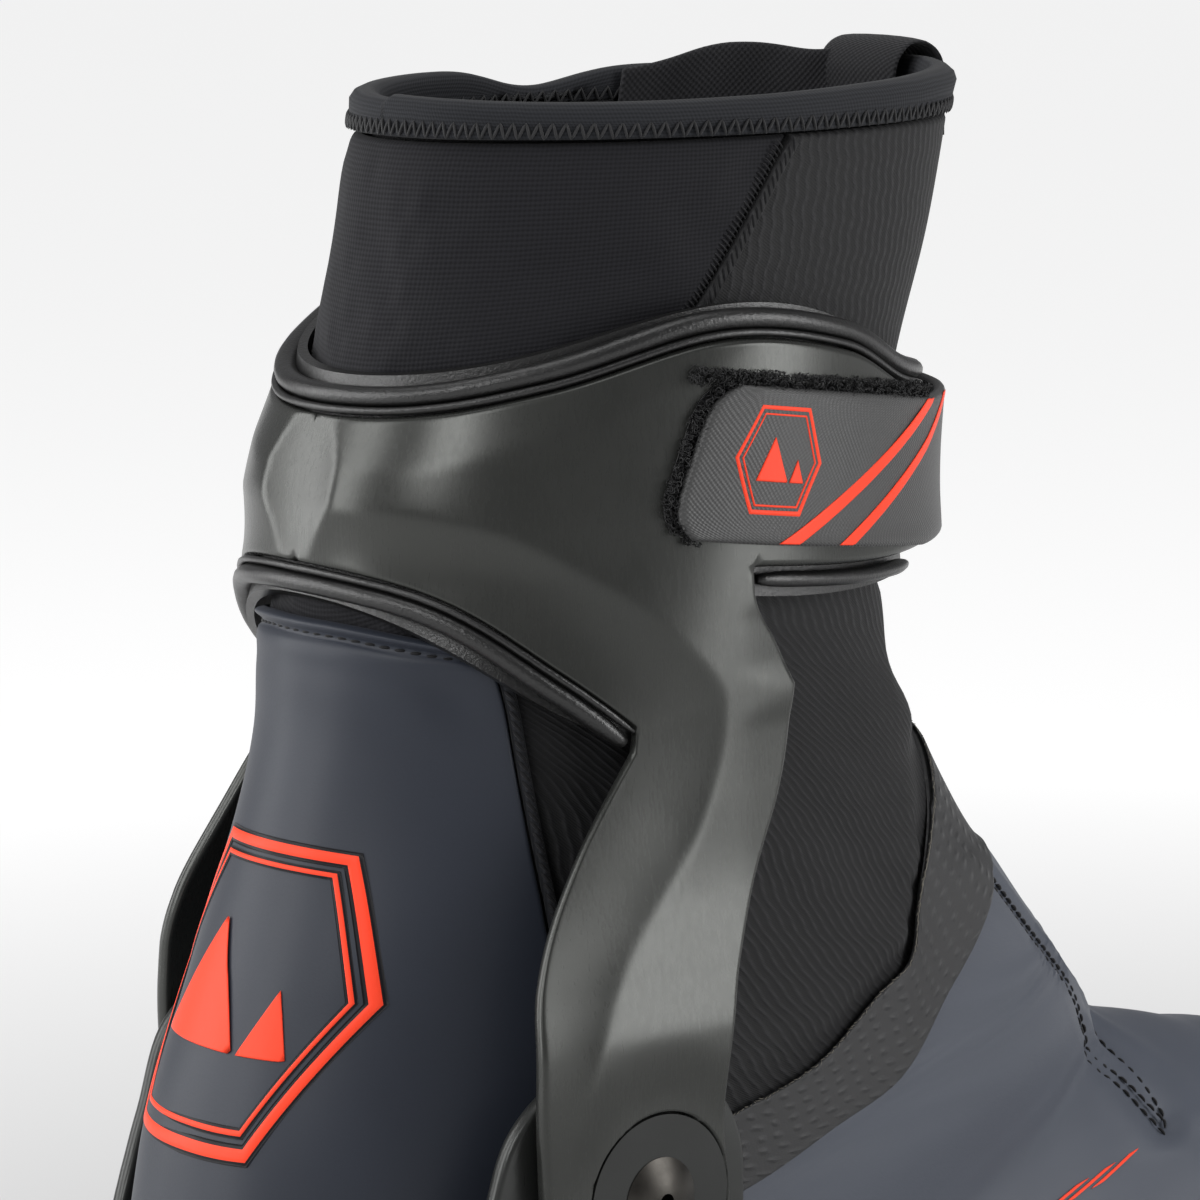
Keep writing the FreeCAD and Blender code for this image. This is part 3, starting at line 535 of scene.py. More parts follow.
def sweep(path, normals, profile, taper=1.0):
    """Points and faces of a profile of (side, out) places carried along a line."""
    tangent = unit(np.gradient(path, axis=0))
    side = unit(np.cross(normals, tangent))
    out = np.cross(tangent, side)
    scale = profile[None] * (taper + np.zeros(len(path)))[:, None, None]
    points = path[:, None] + side[:, None] * scale[..., :1] + out[:, None] * scale[..., 1:]
    rows, columns = points.shape[:2]
    faces = grid_faces(rows, columns, True).tolist()
    faces.append(list(range(columns))[::-1])
    faces.append([(rows - 1) * columns + j for j in range(columns)])
    q = points[1, 0], points[1, 1], points[2, 0]
    if np.dot(np.cross(q[1] - q[0], q[2] - q[0]), q[0] - path[1]) < 0:
        faces = [f[::-1] for f in faces]
    return points.reshape(-1, 3), faces


def ring_profile(across, out, sides=10):
    turn = np.arange(sides) * 2 * math.pi / sides
    return np.stack([np.cos(turn) * across, np.sin(turn) * out], -1)


def merge(parts):
    """One mesh from several (points, faces)."""
    points = []
    faces = []
    count = 0
    for p, f in parts:
        points.append(p)
        faces += [[i + count for i in face] for face in f]
        count += len(p)
    return np.vstack(points), faces


def made_of(name, parts, look, body, nodes=()):
    """One piece from several (points, faces), its pattern laid over it from above."""
    points, faces = merge(parts)
    return piece(name, points, faces, look, body, nodes, points[:, :2])


def tube_faces(rings, sides):
    """Quads of a tube of rings, and its two end caps."""
    last = (rings - 1) * sides
    quads = [[i + k, i + sides + k, i + sides + (k + 1) % sides, i + (k + 1) % sides]
             for i in range(0, last, sides) for k in range(sides)]
    return np.array(quads), [list(range(sides)), list(range(last, last + sides))[::-1]]


def thread_template(length, thick, sag, sides=6, rings=6):
    """A stitch along x, arched out of the cloth."""
    points = []
    for i in range(rings):
        x = -1 + 2 * i / (rings - 1)
        r = thick * max(0.25, math.sqrt(max(0.0, 1 - x ** 4)))
        for k in range(sides):
            turn = 2 * math.pi * k / sides
            points.append((x * length / 2, math.cos(turn) * r, math.sin(turn) * r - sag * x * x))
    return np.array(points), *tube_faces(rings, sides)


def scatter(template, origins, x_axes, z_axes):
    """Copies of a template set along given frames."""
    points, quads, caps = template
    x_axes = unit(x_axes)
    y_axes = unit(np.cross(z_axes, x_axes))
    z_axes = np.cross(x_axes, y_axes)
    frame_axes = np.stack([x_axes, y_axes, z_axes], 1)
    every = origins[:, None] + np.einsum("pk,nkc->npc", points, frame_axes)
    n = len(points)
    faces = (quads[None] + np.arange(len(origins))[:, None, None] * n).reshape(-1, quads.shape[1]).tolist()
    for i in range(len(origins)):
        faces += [[k + i * n for k in cap] for cap in caps]
    return every.reshape(-1, 3), faces


def stitch_row(skin_line, pitch, length, thick, lift, slant=0.0):
    """Stitches along a line of (points, normals) on a surface."""
    path, normals = skin_line
    run = run_of(path)
    at = np.arange(pitch / 2, run[-1], pitch)
    origin = read_at(at, run, path)
    normal = unit(read_at(at, run, normals))
    ahead = unit(read_at(at + 0.3, run, path) - read_at(at - 0.3, run, path))
    side = np.cross(normal, ahead)
    x = ahead * math.cos(slant) + side * math.sin(slant)
    return scatter(thread_template(length, thick, 0.22), origin + normal * lift, x, normal)


# ---- materials: every one is made of nodes ----
class Wire:
    """Output of a node; arithmetic on it adds further nodes."""

    def __init__(self, finish, socket):
        self.finish, self.socket = finish, socket

    def __add__(self, other):
        return self.finish.math("ADD", self, other)

    def __sub__(self, other):
        return self.finish.math("SUBTRACT", self, other)

    def __rsub__(self, other):
        return self.finish.math("SUBTRACT", other, self)

    def __mul__(self, other):
        return self.finish.math("MULTIPLY", self, other)

    def __pow__(self, other):
        return self.finish.math("POWER", self, other)


class Finish:
    """A node material under construction."""

    def __init__(self, name, **sockets):
        self.material = bpy.data.materials.new(name)
        self.material.use_nodes = True
        self.tree = self.material.node_tree
        self.surface = self.tree.nodes["Principled BSDF"]
        for key, value in sockets.items():
            self.surface.inputs[key.replace("_", " ")].default_value = value

    def put(self, socket, value):
        if isinstance(value, Wire):
            self.tree.links.new(value.socket, socket)
        else:
            socket.default_value = value

    def node(self, kind, *values, **settings):
        """New node, its first inputs filled in."""
        node = self.tree.nodes.new("ShaderNode" + kind)
        for key, value in settings.items():
            setattr(node, key, value)
        for socket, value in zip(node.inputs, values):
            self.put(socket, value)
        return node

    def places(self, cloth):
        """Millimetres on the cloth, or in the boot's frame."""
        if cloth:
            return Wire(self, self.node("Attribute", attribute_name="cloth").outputs["Vector"])
        return self.stretch(Wire(self, self.node("TexCoord").outputs["Object"]), (1000, 1000, 1000))

    def stretch(self, vector, scale):
        return Wire(self, self.node("VectorMath", vector, scale, operation="MULTIPLY").outputs[0])

    def split(self, vector):
        return [Wire(self, socket) for socket in self.node("SeparateXYZ", vector).outputs]

    def math(self, operation, a, b=0.0, c=0.0):
        return Wire(self, self.node("Math", a, b, c, operation=operation).outputs[0])

    def noise(self, vector, size, detail=2.0, rough=0.5):
        node = self.node("TexNoise", vector)
        for key, value in (("Scale", 1 / size), ("Detail", detail), ("Roughness", rough)):
            node.inputs[key].default_value = value
        return Wire(self, node.outputs["Fac"])

    def span(self, value, low, high, out_low, out_high):
        return Wire(self, self.node("MapRange", value, low, high, out_low, out_high).outputs[0])

    def mix(self, amount, a, b):
        node = self.node("Mix", amount, data_type="RGBA")
        self.put(node.inputs[6], a)
        self.put(node.inputs[7], b)
        return Wire(self, node.outputs[2])

    def waves(self, value, pitch):
        """Sine of a value in millimetres, 0 to 1."""
        return self.math("MULTIPLY_ADD", self.math("SINE", value * (2 * math.pi / pitch)), 0.5, 0.5)

    def finish(self, colour=None, rough=None, height=None, depth=0.1):
        if colour is not None:
            self.put(self.surface.inputs["Base Color"], colour)
        if rough is not None:
            self.put(self.surface.inputs["Roughness"], rough)
        if height is not None:
            node = self.tree.nodes.new("ShaderNodeBump")
            node.inputs["Strength"].default_value = 1.0
            node.inputs["Distance"].default_value = depth / 1000
            self.put(node.inputs["Height"], height)
            self.tree.links.new(node.outputs[0], self.surface.inputs["Normal"])
        return self.material


def rgb(red, green, blue):
    """Colour from 0 to 255 display values."""
    return tuple(((c / 255) / 12.92 if c <= 10 else ((c / 255 + 0.055) / 1.055) ** 2.4)
                 for c in (red, green, blue)) + (1.0,)


def shade(colour, by):
    return tuple(min(1.0, c * by) for c in colour[:3]) + (1.0,)


def plastic(name, colour, rough, grain=0.35, depth=0.012, metal=0.0, streak=0.0, specular=0.4):
    """Moulded plastic or rubber: mottled tone, fine grain with painted glints on its peaks, and a little
    handling wear.
    """
    f = Finish(name, Metallic=metal, Specular_IOR_Level=specular)
    place = f.places(False)
    mottle = f.noise(place, 14, 4)
    fine = f.noise(place, grain, 3, 0.7)
    drawn = f.noise(f.stretch(place, (1, 1, 0.12)), 0.55, 3, 0.6)
    tone = f.mix(f.span(mottle, 0.3, 0.7, 0, 1), shade(colour, 0.93), shade(colour, 1.07))
    # painted glints: the highest points of the fine grain are lightened towards 1.9 times the colour
    tone = f.mix(f.span(fine, 0.62, 0.8, 0, 1) * 0.35, tone, shade(colour, 1.9))
    gloss = (f.span(mottle, 0.3, 0.7, rough - 0.015, rough + 0.02)
             + f.span(drawn, 0.3, 0.7, -0.04 * streak, 0.05 * streak))
    return f.finish(tone, gloss, drawn * (streak * 0.6) + fine, depth)


def cloth(name, colour, weave, pitch, depth, rough=0.85, sheen=0.06, contrast=0.45, light=None,
          specular=0.15):
    """Woven, knitted or coated fabric, its pattern in millimetres along the piece."""
    f = Finish(name, Sheen_Weight=sheen, Sheen_Roughness=0.5, Specular_IOR_Level=specular)
    place = f.places(True)
    x, y, _ = f.split(place)
    fuzz = f.noise(place, 0.28, 3, 0.7)
    drift = f.noise(place, 16, 3)
    if weave == "ribs":
        row = f.waves(y + f.noise(place, 6, 2) * 0.35, pitch)
        loop = f.waves(x + y * 0.5, pitch * 0.9)
        height = f.math("MULTIPLY_ADD", loop, 0.45, row * 0.7)
    elif weave == "twill":
        bow = f.waves(y + f.noise(place, 9, 2) * 3, 5.2) * 0.4
        shift = f.noise(place, 12, 2) * 2.2
        ridge = f.waves(x + y * -0.3 + bow + shift, pitch) ** 2.2
        broken = f.math("MULTIPLY_ADD", f.waves(y + x * 0.55, 2.6), 0.45, 0.55)
        thread = f.waves(x + y, 0.7)
        height = ridge * broken + thread * 0.18
    elif weave == "plain":
        a = f.waves(x, pitch)
        b = f.waves(y, pitch)
        height = a * b + (1 - a) * (1 - b)
    elif weave == "emboss":
        a = f.waves(x + y * 0.25, pitch) ** 2
        b = f.waves(y + f.noise(place, 4, 2) * 2.0, pitch * 1.5) ** 2
        height = a * b
    else:
        height = f.noise(place, pitch, 4, 0.65)
    height = f.math("MULTIPLY_ADD", fuzz, 0.35, height)
    # painted shade and highlight: the colour follows the weave's bump height, darker in its hollows and
    # lighter on its raised threads; light, when given, is the painted ridge highlight colour, and contrast
    # sets how strong both are
    ridge_highlight_colour = light or shade(colour, 1.0 + contrast * 1.6)
    tone = f.mix(f.span(height, 0.15, 1.15, 0, 1), shade(colour, 1.0 - contrast * 0.5), ridge_highlight_colour)
    tone = f.mix(f.span(drift, 0.35, 0.7, 0, 1) * 0.22, tone, shade(colour, 1.35))
    gloss = f.span(height, 0, 1, min(1, rough + 0.06), rough - 0.06)
    return f.finish(tone, gloss, height, depth)


def metal(name, colour, rough):
    """Turned or drawn metal with fine marks."""
    f = Finish(name, Metallic=1.0)
    place = f.places(False)
    marks = f.noise(place, 0.3, 4, 0.7)
    dull = f.noise(place, 3, 3)
    tone = f.mix(f.span(dull, 0.35, 0.7, 0, 1), colour, shade(colour, 0.72))
    return f.finish(tone, f.span(marks, 0.3, 0.7, rough - 0.06, rough + 0.08), marks, 0.01)


SLATE = rgb(35, 39, 48)
ORANGE = rgb(236, 66, 40)
looks = {
    "cuff": plastic("cuff_satin_plastic", rgb(56, 57, 55), 0.27, metal=0.55, streak=0.45, grain=0.3,
                    depth=0.007),
    "chassis": plastic("chassis_satin_plastic", rgb(50, 51, 50), 0.3, metal=0.5, streak=0.6),
    "bead": plastic("bead_rubber", rgb(20, 20, 20), 0.3, grain=0.55, depth=0.11, specular=0.55),
    "disc": plastic("disc_plastic", rgb(40, 41, 40), 0.3, metal=0.4),
    "sole": plastic("sole_plastic", rgb(36, 37, 38), 0.4, metal=0.2),
    "tread": plastic("tread_rubber", rgb(26, 26, 27), 0.72, grain=0.6, depth=0.05),
    "toe": plastic("toe_rubber", rgb(38, 39, 41), 0.6, grain=0.8, depth=0.06),
    "board": plastic("board_fibre", rgb(120, 112, 96), 0.9, grain=0.8, depth=0.05),
    "foam": plastic("footbed_foam", rgb(54, 56, 62), 0.95, grain=0.5, depth=0.08),
    "lock": plastic("lock_plastic", rgb(30, 30, 32), 0.45),
    "button": plastic("button_plastic", rgb(46, 46, 48), 0.45),
    "zip": plastic("zip_teeth", rgb(24, 24, 26), 0.4),
    "neoprene": cloth("neoprene_knit", rgb(18, 18, 21), "ribs", 0.75, 0.05, 0.8, 0.05),
    # the twill's light colour is the painted highlight on its ridges
    "twill": cloth("collar_twill", rgb(20, 20, 21), "twill", 2.0, 0.2, 0.66, 0.04,
                   light=rgb(29, 29, 31), specular=0.25),
    "binding": cloth("rim_binding", rgb(26, 27, 30), "ribs", 0.55, 0.05, 0.8, 0.06),
    "lining": cloth("brushed_lining", rgb(20, 20, 22), "grain", 0.5, 0.2, 0.95, 0.2),
    "slate": cloth("slate_softshell", SLATE, "grain", 0.45, 0.015, 0.5, 0.03, contrast=0.1,
                   specular=0.3),
    "shell": cloth("slate_instep_shell", rgb(66, 70, 79), "grain", 0.45, 0.015, 0.5, 0.03,
                   contrast=0.1, specular=0.3),
    "band": cloth("embossed_band", rgb(44, 44, 45), "emboss", 2.4, 0.22, 0.5, 0.02, contrast=0.12,
                  specular=0.3),
    "strap": cloth("strap_weave", rgb(56, 56, 56), "plain", 0.75, 0.06, 0.45, 0.02, contrast=0.2,
                   specular=0.35),
    "webbing": cloth("webbing", rgb(27, 27, 29), "plain", 1.1, 0.16, 0.75, 0.06),
    "pile": cloth("pile_backing", rgb(12, 12, 13), "grain", 0.6, 0.3, 0.95, 0.1),
    "fuzz": plastic("pile_fibre", rgb(20, 20, 21), 0.5, grain=0.2),
    "thread": cloth("sewing_thread", rgb(15, 15, 17), "grain", 0.3, 0.05, 0.6, 0.1),
    "rim_thread": cloth("rim_thread", rgb(33, 33, 34), "grain", 0.3, 0.05, 0.6, 0.1),
    "pale_thread": cloth("frayed_thread", rgb(104, 100, 92), "grain", 0.3, 0.05, 0.8, 0.1),
    "orange": cloth("orange_print", ORANGE, "grain", 0.5, 0.01, 0.45, 0.0, contrast=0.05),
    "keyline": cloth("dark_print", rgb(18, 17, 20), "grain", 0.5, 0.01, 0.4, 0.0, contrast=0.1),
    "rivet": metal("rivet_metal", rgb(62, 60, 57), 0.34),
    "steel": metal("bar_steel", rgb(166, 166, 168), 0.25),
    "zip_metal": metal("zip_metal", rgb(100, 100, 104), 0.3),
}

# ---- hinged cuff ----
CUFF_TOP = [(5, 194.5), (27, 196), (43, 199.8), (68, 206.3), (92, 203.3), (107, 196.8), (119, 194)]
CUFF_REAR_LOW = [(51.5, 152.5), (41, 161), (26, 172.5), (5, 177.5)]
CUFF_WING_LOW = [(116, 171), (95, 171.6), (72, 173.5)]
CUFF_RUNS = [
    CUFF_TOP,
    [(119, 194), (121, 183), (116, 171)],
    CUFF_WING_LOW,
    [(72, 173.5), (72.5, 168.5), (76, 163), (79.8, 156)],
    [(79.8, 156), (77, 142), (70.5, 127), (65, 112), (62.5, 97), (63.8, 82)],
    [(63.8, 82), (59.5, 71), (50, 66), (38.5, 69), (31, 77.5), (29.5, 89)],
    [(29.5, 89), (29.2, 103), (31, 118), (39.5, 133.5), (51, 149)],
    [(51, 149), (51.5, 152.5)],
    CUFF_REAR_LOW,
]
CHASSIS_RUNS = [
    [(-30, 50), (-8, 52), (4, 57), (15, 68), (22, 84), (27, 97), (37, 104.3), (50, 105), (62, 101),
     (69, 91), (70, 78), (73, 56), (82, 34), (98, 18), (116, 8.6)],
    [(116, 8.6), (-30, 8.6)],
]


def flat_run(wall, run):
    """A side view run as (g, z) places; where it goes behind the wall it stops at the centre."""
    fine = curve(run, 0.04)
    back = smooth(wall.rings[:, 0], wall.rings[:, 1], fine[:, 1])
    seen = fine[:, 0] > back + 0.02
    line = wall.path(fine[seen][::4])
    if not seen[0]:
        z = line[0][1]
        line = np.vstack([[wall.centre(z), z], line])
    if not seen[-1]:
        z = line[-1][1]
        line = np.vstack([line, [wall.centre(z), z]])
    return line


def wall_outline(wall, runs, step):
    """Open outline from the centre of the back round one side, the places between its ends, and the
    whole seam that closes it."""
    line = [resample(flat_run(wall, run), step) for run in runs]
    line = np.vstack([line[0]] + [part[1:] for part in line[1:]])
    heights = np.arange(line[-1][1] + step, line[0][1] - step / 2, step)
    seam = np.array([(wall.centre(h), h) for h in heights])
    return line, seam, np.vstack([line[-1:], seam, line[:1]])


def signed(g, z, line):
    """Distance from a line of places, positive on its left."""
    points = np.stack([g, z], -1)
    best = np.full(len(points), 1e9)
    sign = np.ones(len(points))
    for a, b in zip(line, line[1:]):
        d = b - a
        t = np.clip(((points - a) @ d) / (d @ d), 0, 1)
        away = points - a - t[:, None] * d
        length = np.linalg.norm(away, axis=1)
        side = d[0] * (points[:, 1] - a[1]) - d[1] * (points[:, 0] - a[0])
        closer = length < best - 1e-9
        best = np.where(closer, length, best)
        sign = np.where(closer, np.sign(side), sign)
    return best * sign


def crease(level, places):
    """Line of a crease from the middle of the back forwards, through side view places."""
    return curve(np.vstack([[cuff.centre(level), level], cuff.path(places)]), 2.0)


CREASE_HIGH = crease(186.4, [(26.0, 186.6), (30.3, 187.6), (40.7, 190.8), (53.9, 196.6), (63.6, 200.4),
                             (76.0, 204.6), (90.0, 206.6)])
CREASE_LOW = crease(184.2, [(26.8, 183.7), (31.0, 182.6), (37.2, 180.4), (46.9, 174.5), (53.3, 170.0),
                            (60.1, 163.9), (66.5, 156.5), (66.8, 150.0), (65.2, 143.9), (60.9, 135.2),
                            (54.5, 127.9), (48.1, 121.0), (45.0, 117.0), (40.9, 109.7), (38.1, 102.0),
                            (36.6, 92.0), (38.0, 80.0)])


def softer(a, b, round_off=0.12):
    """Smaller of two values, with a small radius where they meet."""
    h = np.clip(0.5 + 0.5 * (b - a) / round_off, 0, 1)
    return b * (1 - h) + a * h - round_off * h * (1 - h)


RECESS = 12.9  # radius of the round recess for the pivot disc


def cuff_relief(g, z):
    """Height of the cuff's moulded skin: a crest between two creases, thinner towards the front."""
    crest = 0.9
    above = np.maximum(0, signed(g, z, CREASE_HIGH))
    below = np.maximum(0, -signed(g, z, CREASE_LOW))
    # a slope above the high crease and a hollow below the low one
    height = softer(crest + 0 * g, crest - 0.145 * above)
    height = softer(height, crest - 2.3 * (1 - np.exp(-below / 8.5)))
    # a shallow groove up the middle of the back, and the arm's thinner front
    from_centre = np.abs(g - np.interp(z, cuff.z, cuff.centre_g))
    height = softer(height, crest - 0.25 - np.maximum(0, 64 - from_centre ** 2) / 46)
    front = ease(z, 152, 160) * ease(z, 172, 166) + ease(z, 158, 150)
    height = softer(height, crest + 0.35 - 0.055 * np.maximum(0, g - 58) * front)
    # flat round the pivot, with the recess for its disc
    hub = np.hypot(cuff.skin(g, z)[0][:, 0] - PIVOT[0], z - PIVOT[1])
    height = height * ease(hub, 14, 24)
    return np.where(hub < RECESS, -1.1, height)


def hub_ring(radius):
    """Flat places of a circle round the pivot."""
    turns = np.linspace(0, 2 * math.pi, 73)[:-1]
    return cuff.path([(PIVOT[0] + radius * math.cos(a), PIVOT[1] + radius * math.sin(a)) for a in turns])


hub_rings = [hub_ring(RECESS + more) for more in (-0.02, 0.06, 0.35)]
line, seam, joint = wall_outline(cuff, CUFF_RUNS, 1.1)
verts, faces, edge = fill(line, seam, 1.1, (0, 0.1, 0.25, 0.5, 0.8, 1.2), hub_rings)
points, faces, _ = shell_mesh(verts, faces, edge, cuff.skin, -3.0, 0.0, cuff_relief, 0.8, True, joint)
piece("cuff_moulding", points, faces, "cuff", "cuff", ["cuff_shell"])


def chassis_relief(g, z):
    """Thicker foot and a groove above it."""
    return 0.5 * ease(z, 30, 12) - 0.35 * bump_at(z, 33, 1.2) * ease(g, 62, 40)


line, seam, joint = wall_outline(chassis, CHASSIS_RUNS, 1.6)
verts, faces, edge = fill(line, seam, 1.8)
points, faces, _ = shell_mesh(verts, faces, edge, chassis.skin, -2.8, 0.0, chassis_relief, 0.9, True, joint)
piece("chassis_moulding", points, faces, "chassis", "root", ["ankle_chassis"])


def shifted(line, by):
    """A flat line moved to its left."""
    d = np.gradient(line, axis=0)
    return line + unit(np.stack([-d[:, 1], d[:, 0]], -1)) * by


def bead(run, by, offset, profile, both=True):
    """Moulded bead along an edge of the cuff, right round the back or one on each side."""
    line = shifted(resample(flat_run(cuff, run), 1.2), by)
    base, normal = cuff.skin(line[:, 0], line[:, 1])
    path = base + normal * offset
    mirror = np.array([1, -1, 1])
    if both:
        if abs(path[0, 1]) < 2:
            path, normal = path[::-1], normal[::-1]
        path[-1, 1] = 0
        lines = [[np.vstack([v, v[-2::-1] * mirror]) for v in (path, normal)]]
    else:
        lines = [(path, normal), (path * mirror, normal * mirror)]
    ends = np.sqrt(1 - (1 - np.arange(1, 7) / 6.5) ** 2)
    taper = np.ones(len(lines[0][0]))
    taper[:6] = ends
    taper[-6:] = ends[::-1]
    return [sweep(path, normal, profile, taper) for path, normal in lines]


top = bead(CUFF_TOP, 2.75, -2.0, ring_profile(1.6, 1.9, 14))
top += bead(CUFF_TOP, 0.75, -0.9, ring_profile(0.62, 0.8, 10))
low = bead(CUFF_REAR_LOW, 2.7, -2.0, ring_profile(1.45, 1.7, 14))
low += bead(CUFF_REAR_LOW, 0.75, -1.1, ring_profile(0.55, 0.7, 10))
wing = bead([(112, 171.0), (95, 171.6), (74, 173.4)], 2.0, -1.9, ring_profile(1.2, 1.5, 12), both=False)
points, faces = merge(top + low + wing)
piece("edge_beads", points, faces, "bead", "cuff")

# ---- power strap ----
STRAP_WIDE = 22.3
STRAP_RUN = 172.0  # from the free end to the rivets on the other side
STRAP_START = 57.6  # x of the free end
STRAP_LOW = 171.9  # height of the lower edge in front
STRAP_MIDDLE = 184.0  # level along which the strap's length is measured
LEAN_START = 112.0  # behind this place the strap rises towards the back
LEAN = 0.13


def strap_line(distance, share):
    """(points, normals) of the cuff under the strap, at a distance from its free end and a share of
    its width from its lower edge."""
    lean = LEAN * np.maximum(0, LEAN_START - np.minimum(distance + STRAP_START, 200))
    z = STRAP_LOW + lean + share * STRAP_WIDE
    turns = np.linspace(0, 2, 1200)
    ring = cuff.at(STRAP_MIDDLE + 0 * turns, fold(turns))
    run = run_of(ring)
    start = np.interp(STRAP_START, ring[:600, 0], run[:600])
    t = np.interp(start + distance, run, turns)
    base = cuff.at(z, fold(t))
    ahead = cuff.at(z, fold(t + 0.004)) - cuff.at(z, fold(t - 0.004))
    rise = cuff.at(z + 0.6, fold(t)) - cuff.at(z - 0.6, fold(t))
    return base, skin_normals(base, ahead, rise, np.stack([0 * z + SHAFT_X, 0 * z, z], -1))


along = np.concatenate([[0, 0.15, 0.4, 0.8], np.arange(1.4, STRAP_RUN - 1, 1.2),
                        [STRAP_RUN - 0.4, STRAP_RUN]])
A, S = table_of(along, fractions(STRAP_WIDE, 0.9, FINE_EDGE))


def strap_end(a, s):
    """Distance along the strap with its free end cut on a slant and its corners rounded."""
    return a + (4.6 * s + 4.2 * np.abs(2 * s - 1) ** 5) * ease(a, 16, 0)


base, normal = strap_line(strap_end(A, S), S)
across, down = measure(base)
edge = np.minimum(np.minimum(across, across[:, -1:] - across), np.minimum(down, down[-1:] - down))
out, into = rounded(edge, 0.95, 2.75)
ripple = 0.12 * wobble(A, S * 22, 26, 5) * ease(edge, 0, 3)
points, faces = two_faces(base + normal * (out + ripple)[..., None], base + normal * into[..., None], False)
flat = np.stack([across, down], -1).reshape(-1, 2)
piece("power_strap", points, faces, "strap", "peel", ["strap_band", "strap_tab"],
      np.vstack([flat, flat]))


def print_on(loop, place, step, grid_step, low, high):
    """Thin printed shape from its closed flat outline."""
    loop = resample(np.vstack([loop, loop[:1]]), step)[:-1]
    verts, faces, edge = fill(loop, None, grid_step, (0, 0.12, 0.3))
    return shell_mesh(verts, faces, edge, place, low, high, None, 0.1)


def on_strap(a, b):
    """(points, normals) of the strap at millimetres along it and up it."""
    return strap_line(a, b / STRAP_WIDE)


# slanting bands: their start on the lower edge, their start on the upper edge, and their width
for name, low_start, high_start, wide in (("rear", 17.8, 52.5, 3.6), ("front", 29.0, 63.0, 3.2)):
    loop = np.array([(low_start, 0.25), (low_start + wide, 0.25),
                     (high_start + wide, STRAP_WIDE - 0.25), (high_start, STRAP_WIDE - 0.25)])
    points, faces, flat = print_on(loop, on_strap, 0.7, 1.3, 2.7, 2.87)
    piece("stripe_" + name, points, faces, "orange", "peel", cloth=flat)


def hexagon(wide, tall):
    """Flat hexagon with its points to the sides."""
    return np.array([(wide * x, tall * y) for x, y in
                     [(0.56, 0.86), (1.0, 0.0), (0.56, -0.86), (-0.56, -0.86), (-1.0, 0.0), (-0.56, 0.86)]])


def ring_band(outer, inner, place, low, high, step=0.9):
    """Closed band between two matching loops."""
    loops = np.stack([outer, inner], 1)
    rows = []
    for start, end in zip(loops, np.roll(loops, -1, axis=0)):
        n = max(2, int(np.linalg.norm(end[0] - start[0]) / step))
        rows.append(start + (end - start) * np.arange(n)[:, None, None] / n)
    a, b = np.vstack(rows).transpose(1, 0, 2)
    share = np.array([0, 0.12, 0.35, 0.65, 0.88, 1.0])[:, None, None]
    flat = a + (b - a) * share
    base, normal = place(flat[..., 0], flat[..., 1])
    lift = np.array([0.0, 0.7, 1, 1, 0.7, 0.0])[:, None, None]
    return two_faces(base + normal * (low + (high - low) * lift), base + normal * (low - 0.05), True)


def mountain(cx, cy, wide, tall):
    """Outline of a solid peak."""
    return np.array([(cx - wide, cy - tall), (cx - 0.1 * wide, cy + tall), (cx + wide, cy - tall)])


# half width and half height of a band's outer and inner hexagons, as shares of the badge's size
BADGE_BANDS = ((1.0, 1.12, 0.91, 1.02), (0.85, 0.955, 0.81, 0.91))
KEYLINE_BANDS = ((1.02, 1.14, 0.89, 1.0), (0.866, 0.971, 0.794, 0.894))
# middle, half width and half height of the badge's peaks
BADGE_PEAKS = ((-0.14, 0.02, 0.36, 0.4), (0.42, -0.17, 0.17, 0.21))


def emblem(name, place, size, body, low, high, keyline):
    """Generic badge: two hexagons round two peaks."""
    def bands(sizes, down):
        return [ring_band(hexagon(a * size, b * size), hexagon(c * size, d * size), place, low - down[0],
                          high - down[1]) for a, b, c, d in sizes]

    parts = bands(BADGE_BANDS, (0, 0))
    for peak in BADGE_PEAKS:
        loop = mountain(*[value * size for value in peak])
        parts.append(print_on(loop, place, size * 0.05, max(0.9, size * 0.06), low, high)[:2])
    made_of(name, parts, "orange", body)
    if keyline:
        made_of(name + "_keyline", bands(KEYLINE_BANDS, (0.04, 0.07)), "keyline", body)


emblem("strap_badge", lambda a, b: on_strap(a + 16.8, b + 12.0), 8.0, "peel", 2.7, 2.9,
       False)

# hook and loop pile under the free end, its fibres showing along the upper and rear edges
along = np.concatenate([[-1.6, -1.4, -1.0], np.arange(0, 52, 1.2)])
A, S = table_of(along, 0.04 + 0.96 * fractions(22.0, 1.2, (0.0, 0.3)))
base, normal = strap_line(strap_end(A + 1.6, S) - 1.6, S * 1.035)
points, faces = two_faces(base + normal * 0.9, base + normal * 0.05, False)
piece("pile_patch", points, faces, "pile", "cuff", ["loop_pile"], np.zeros((len(points), 2)))
draw = random.Random(7)
spots = []
for _ in range(1500):
    spots.append((draw.uniform(0, 56), 1.0 + draw.uniform(-0.02, 0.085), draw.uniform(0.3, 2.3)))
for _ in range(750):
    s = draw.uniform(-0.02, 1.06)
    spots.append((draw.uniform(-1.9, 0.8), s, draw.uniform(0.2, 2.2)))
spots = np.array(spots)
base, normal = strap_line(np.where(spots[:, 0] < 0.9, strap_end(np.maximum(spots[:, 0], 0), spots[:, 1])
                                   + np.minimum(spots[:, 0], 0), spots[:, 0]), spots[:, 1])
tilt = np.array([[draw.gauss(0, 1) for _ in range(3)] for _ in spots])
spin = np.array([[draw.gauss(0, 1) for _ in range(3)] for _ in spots])


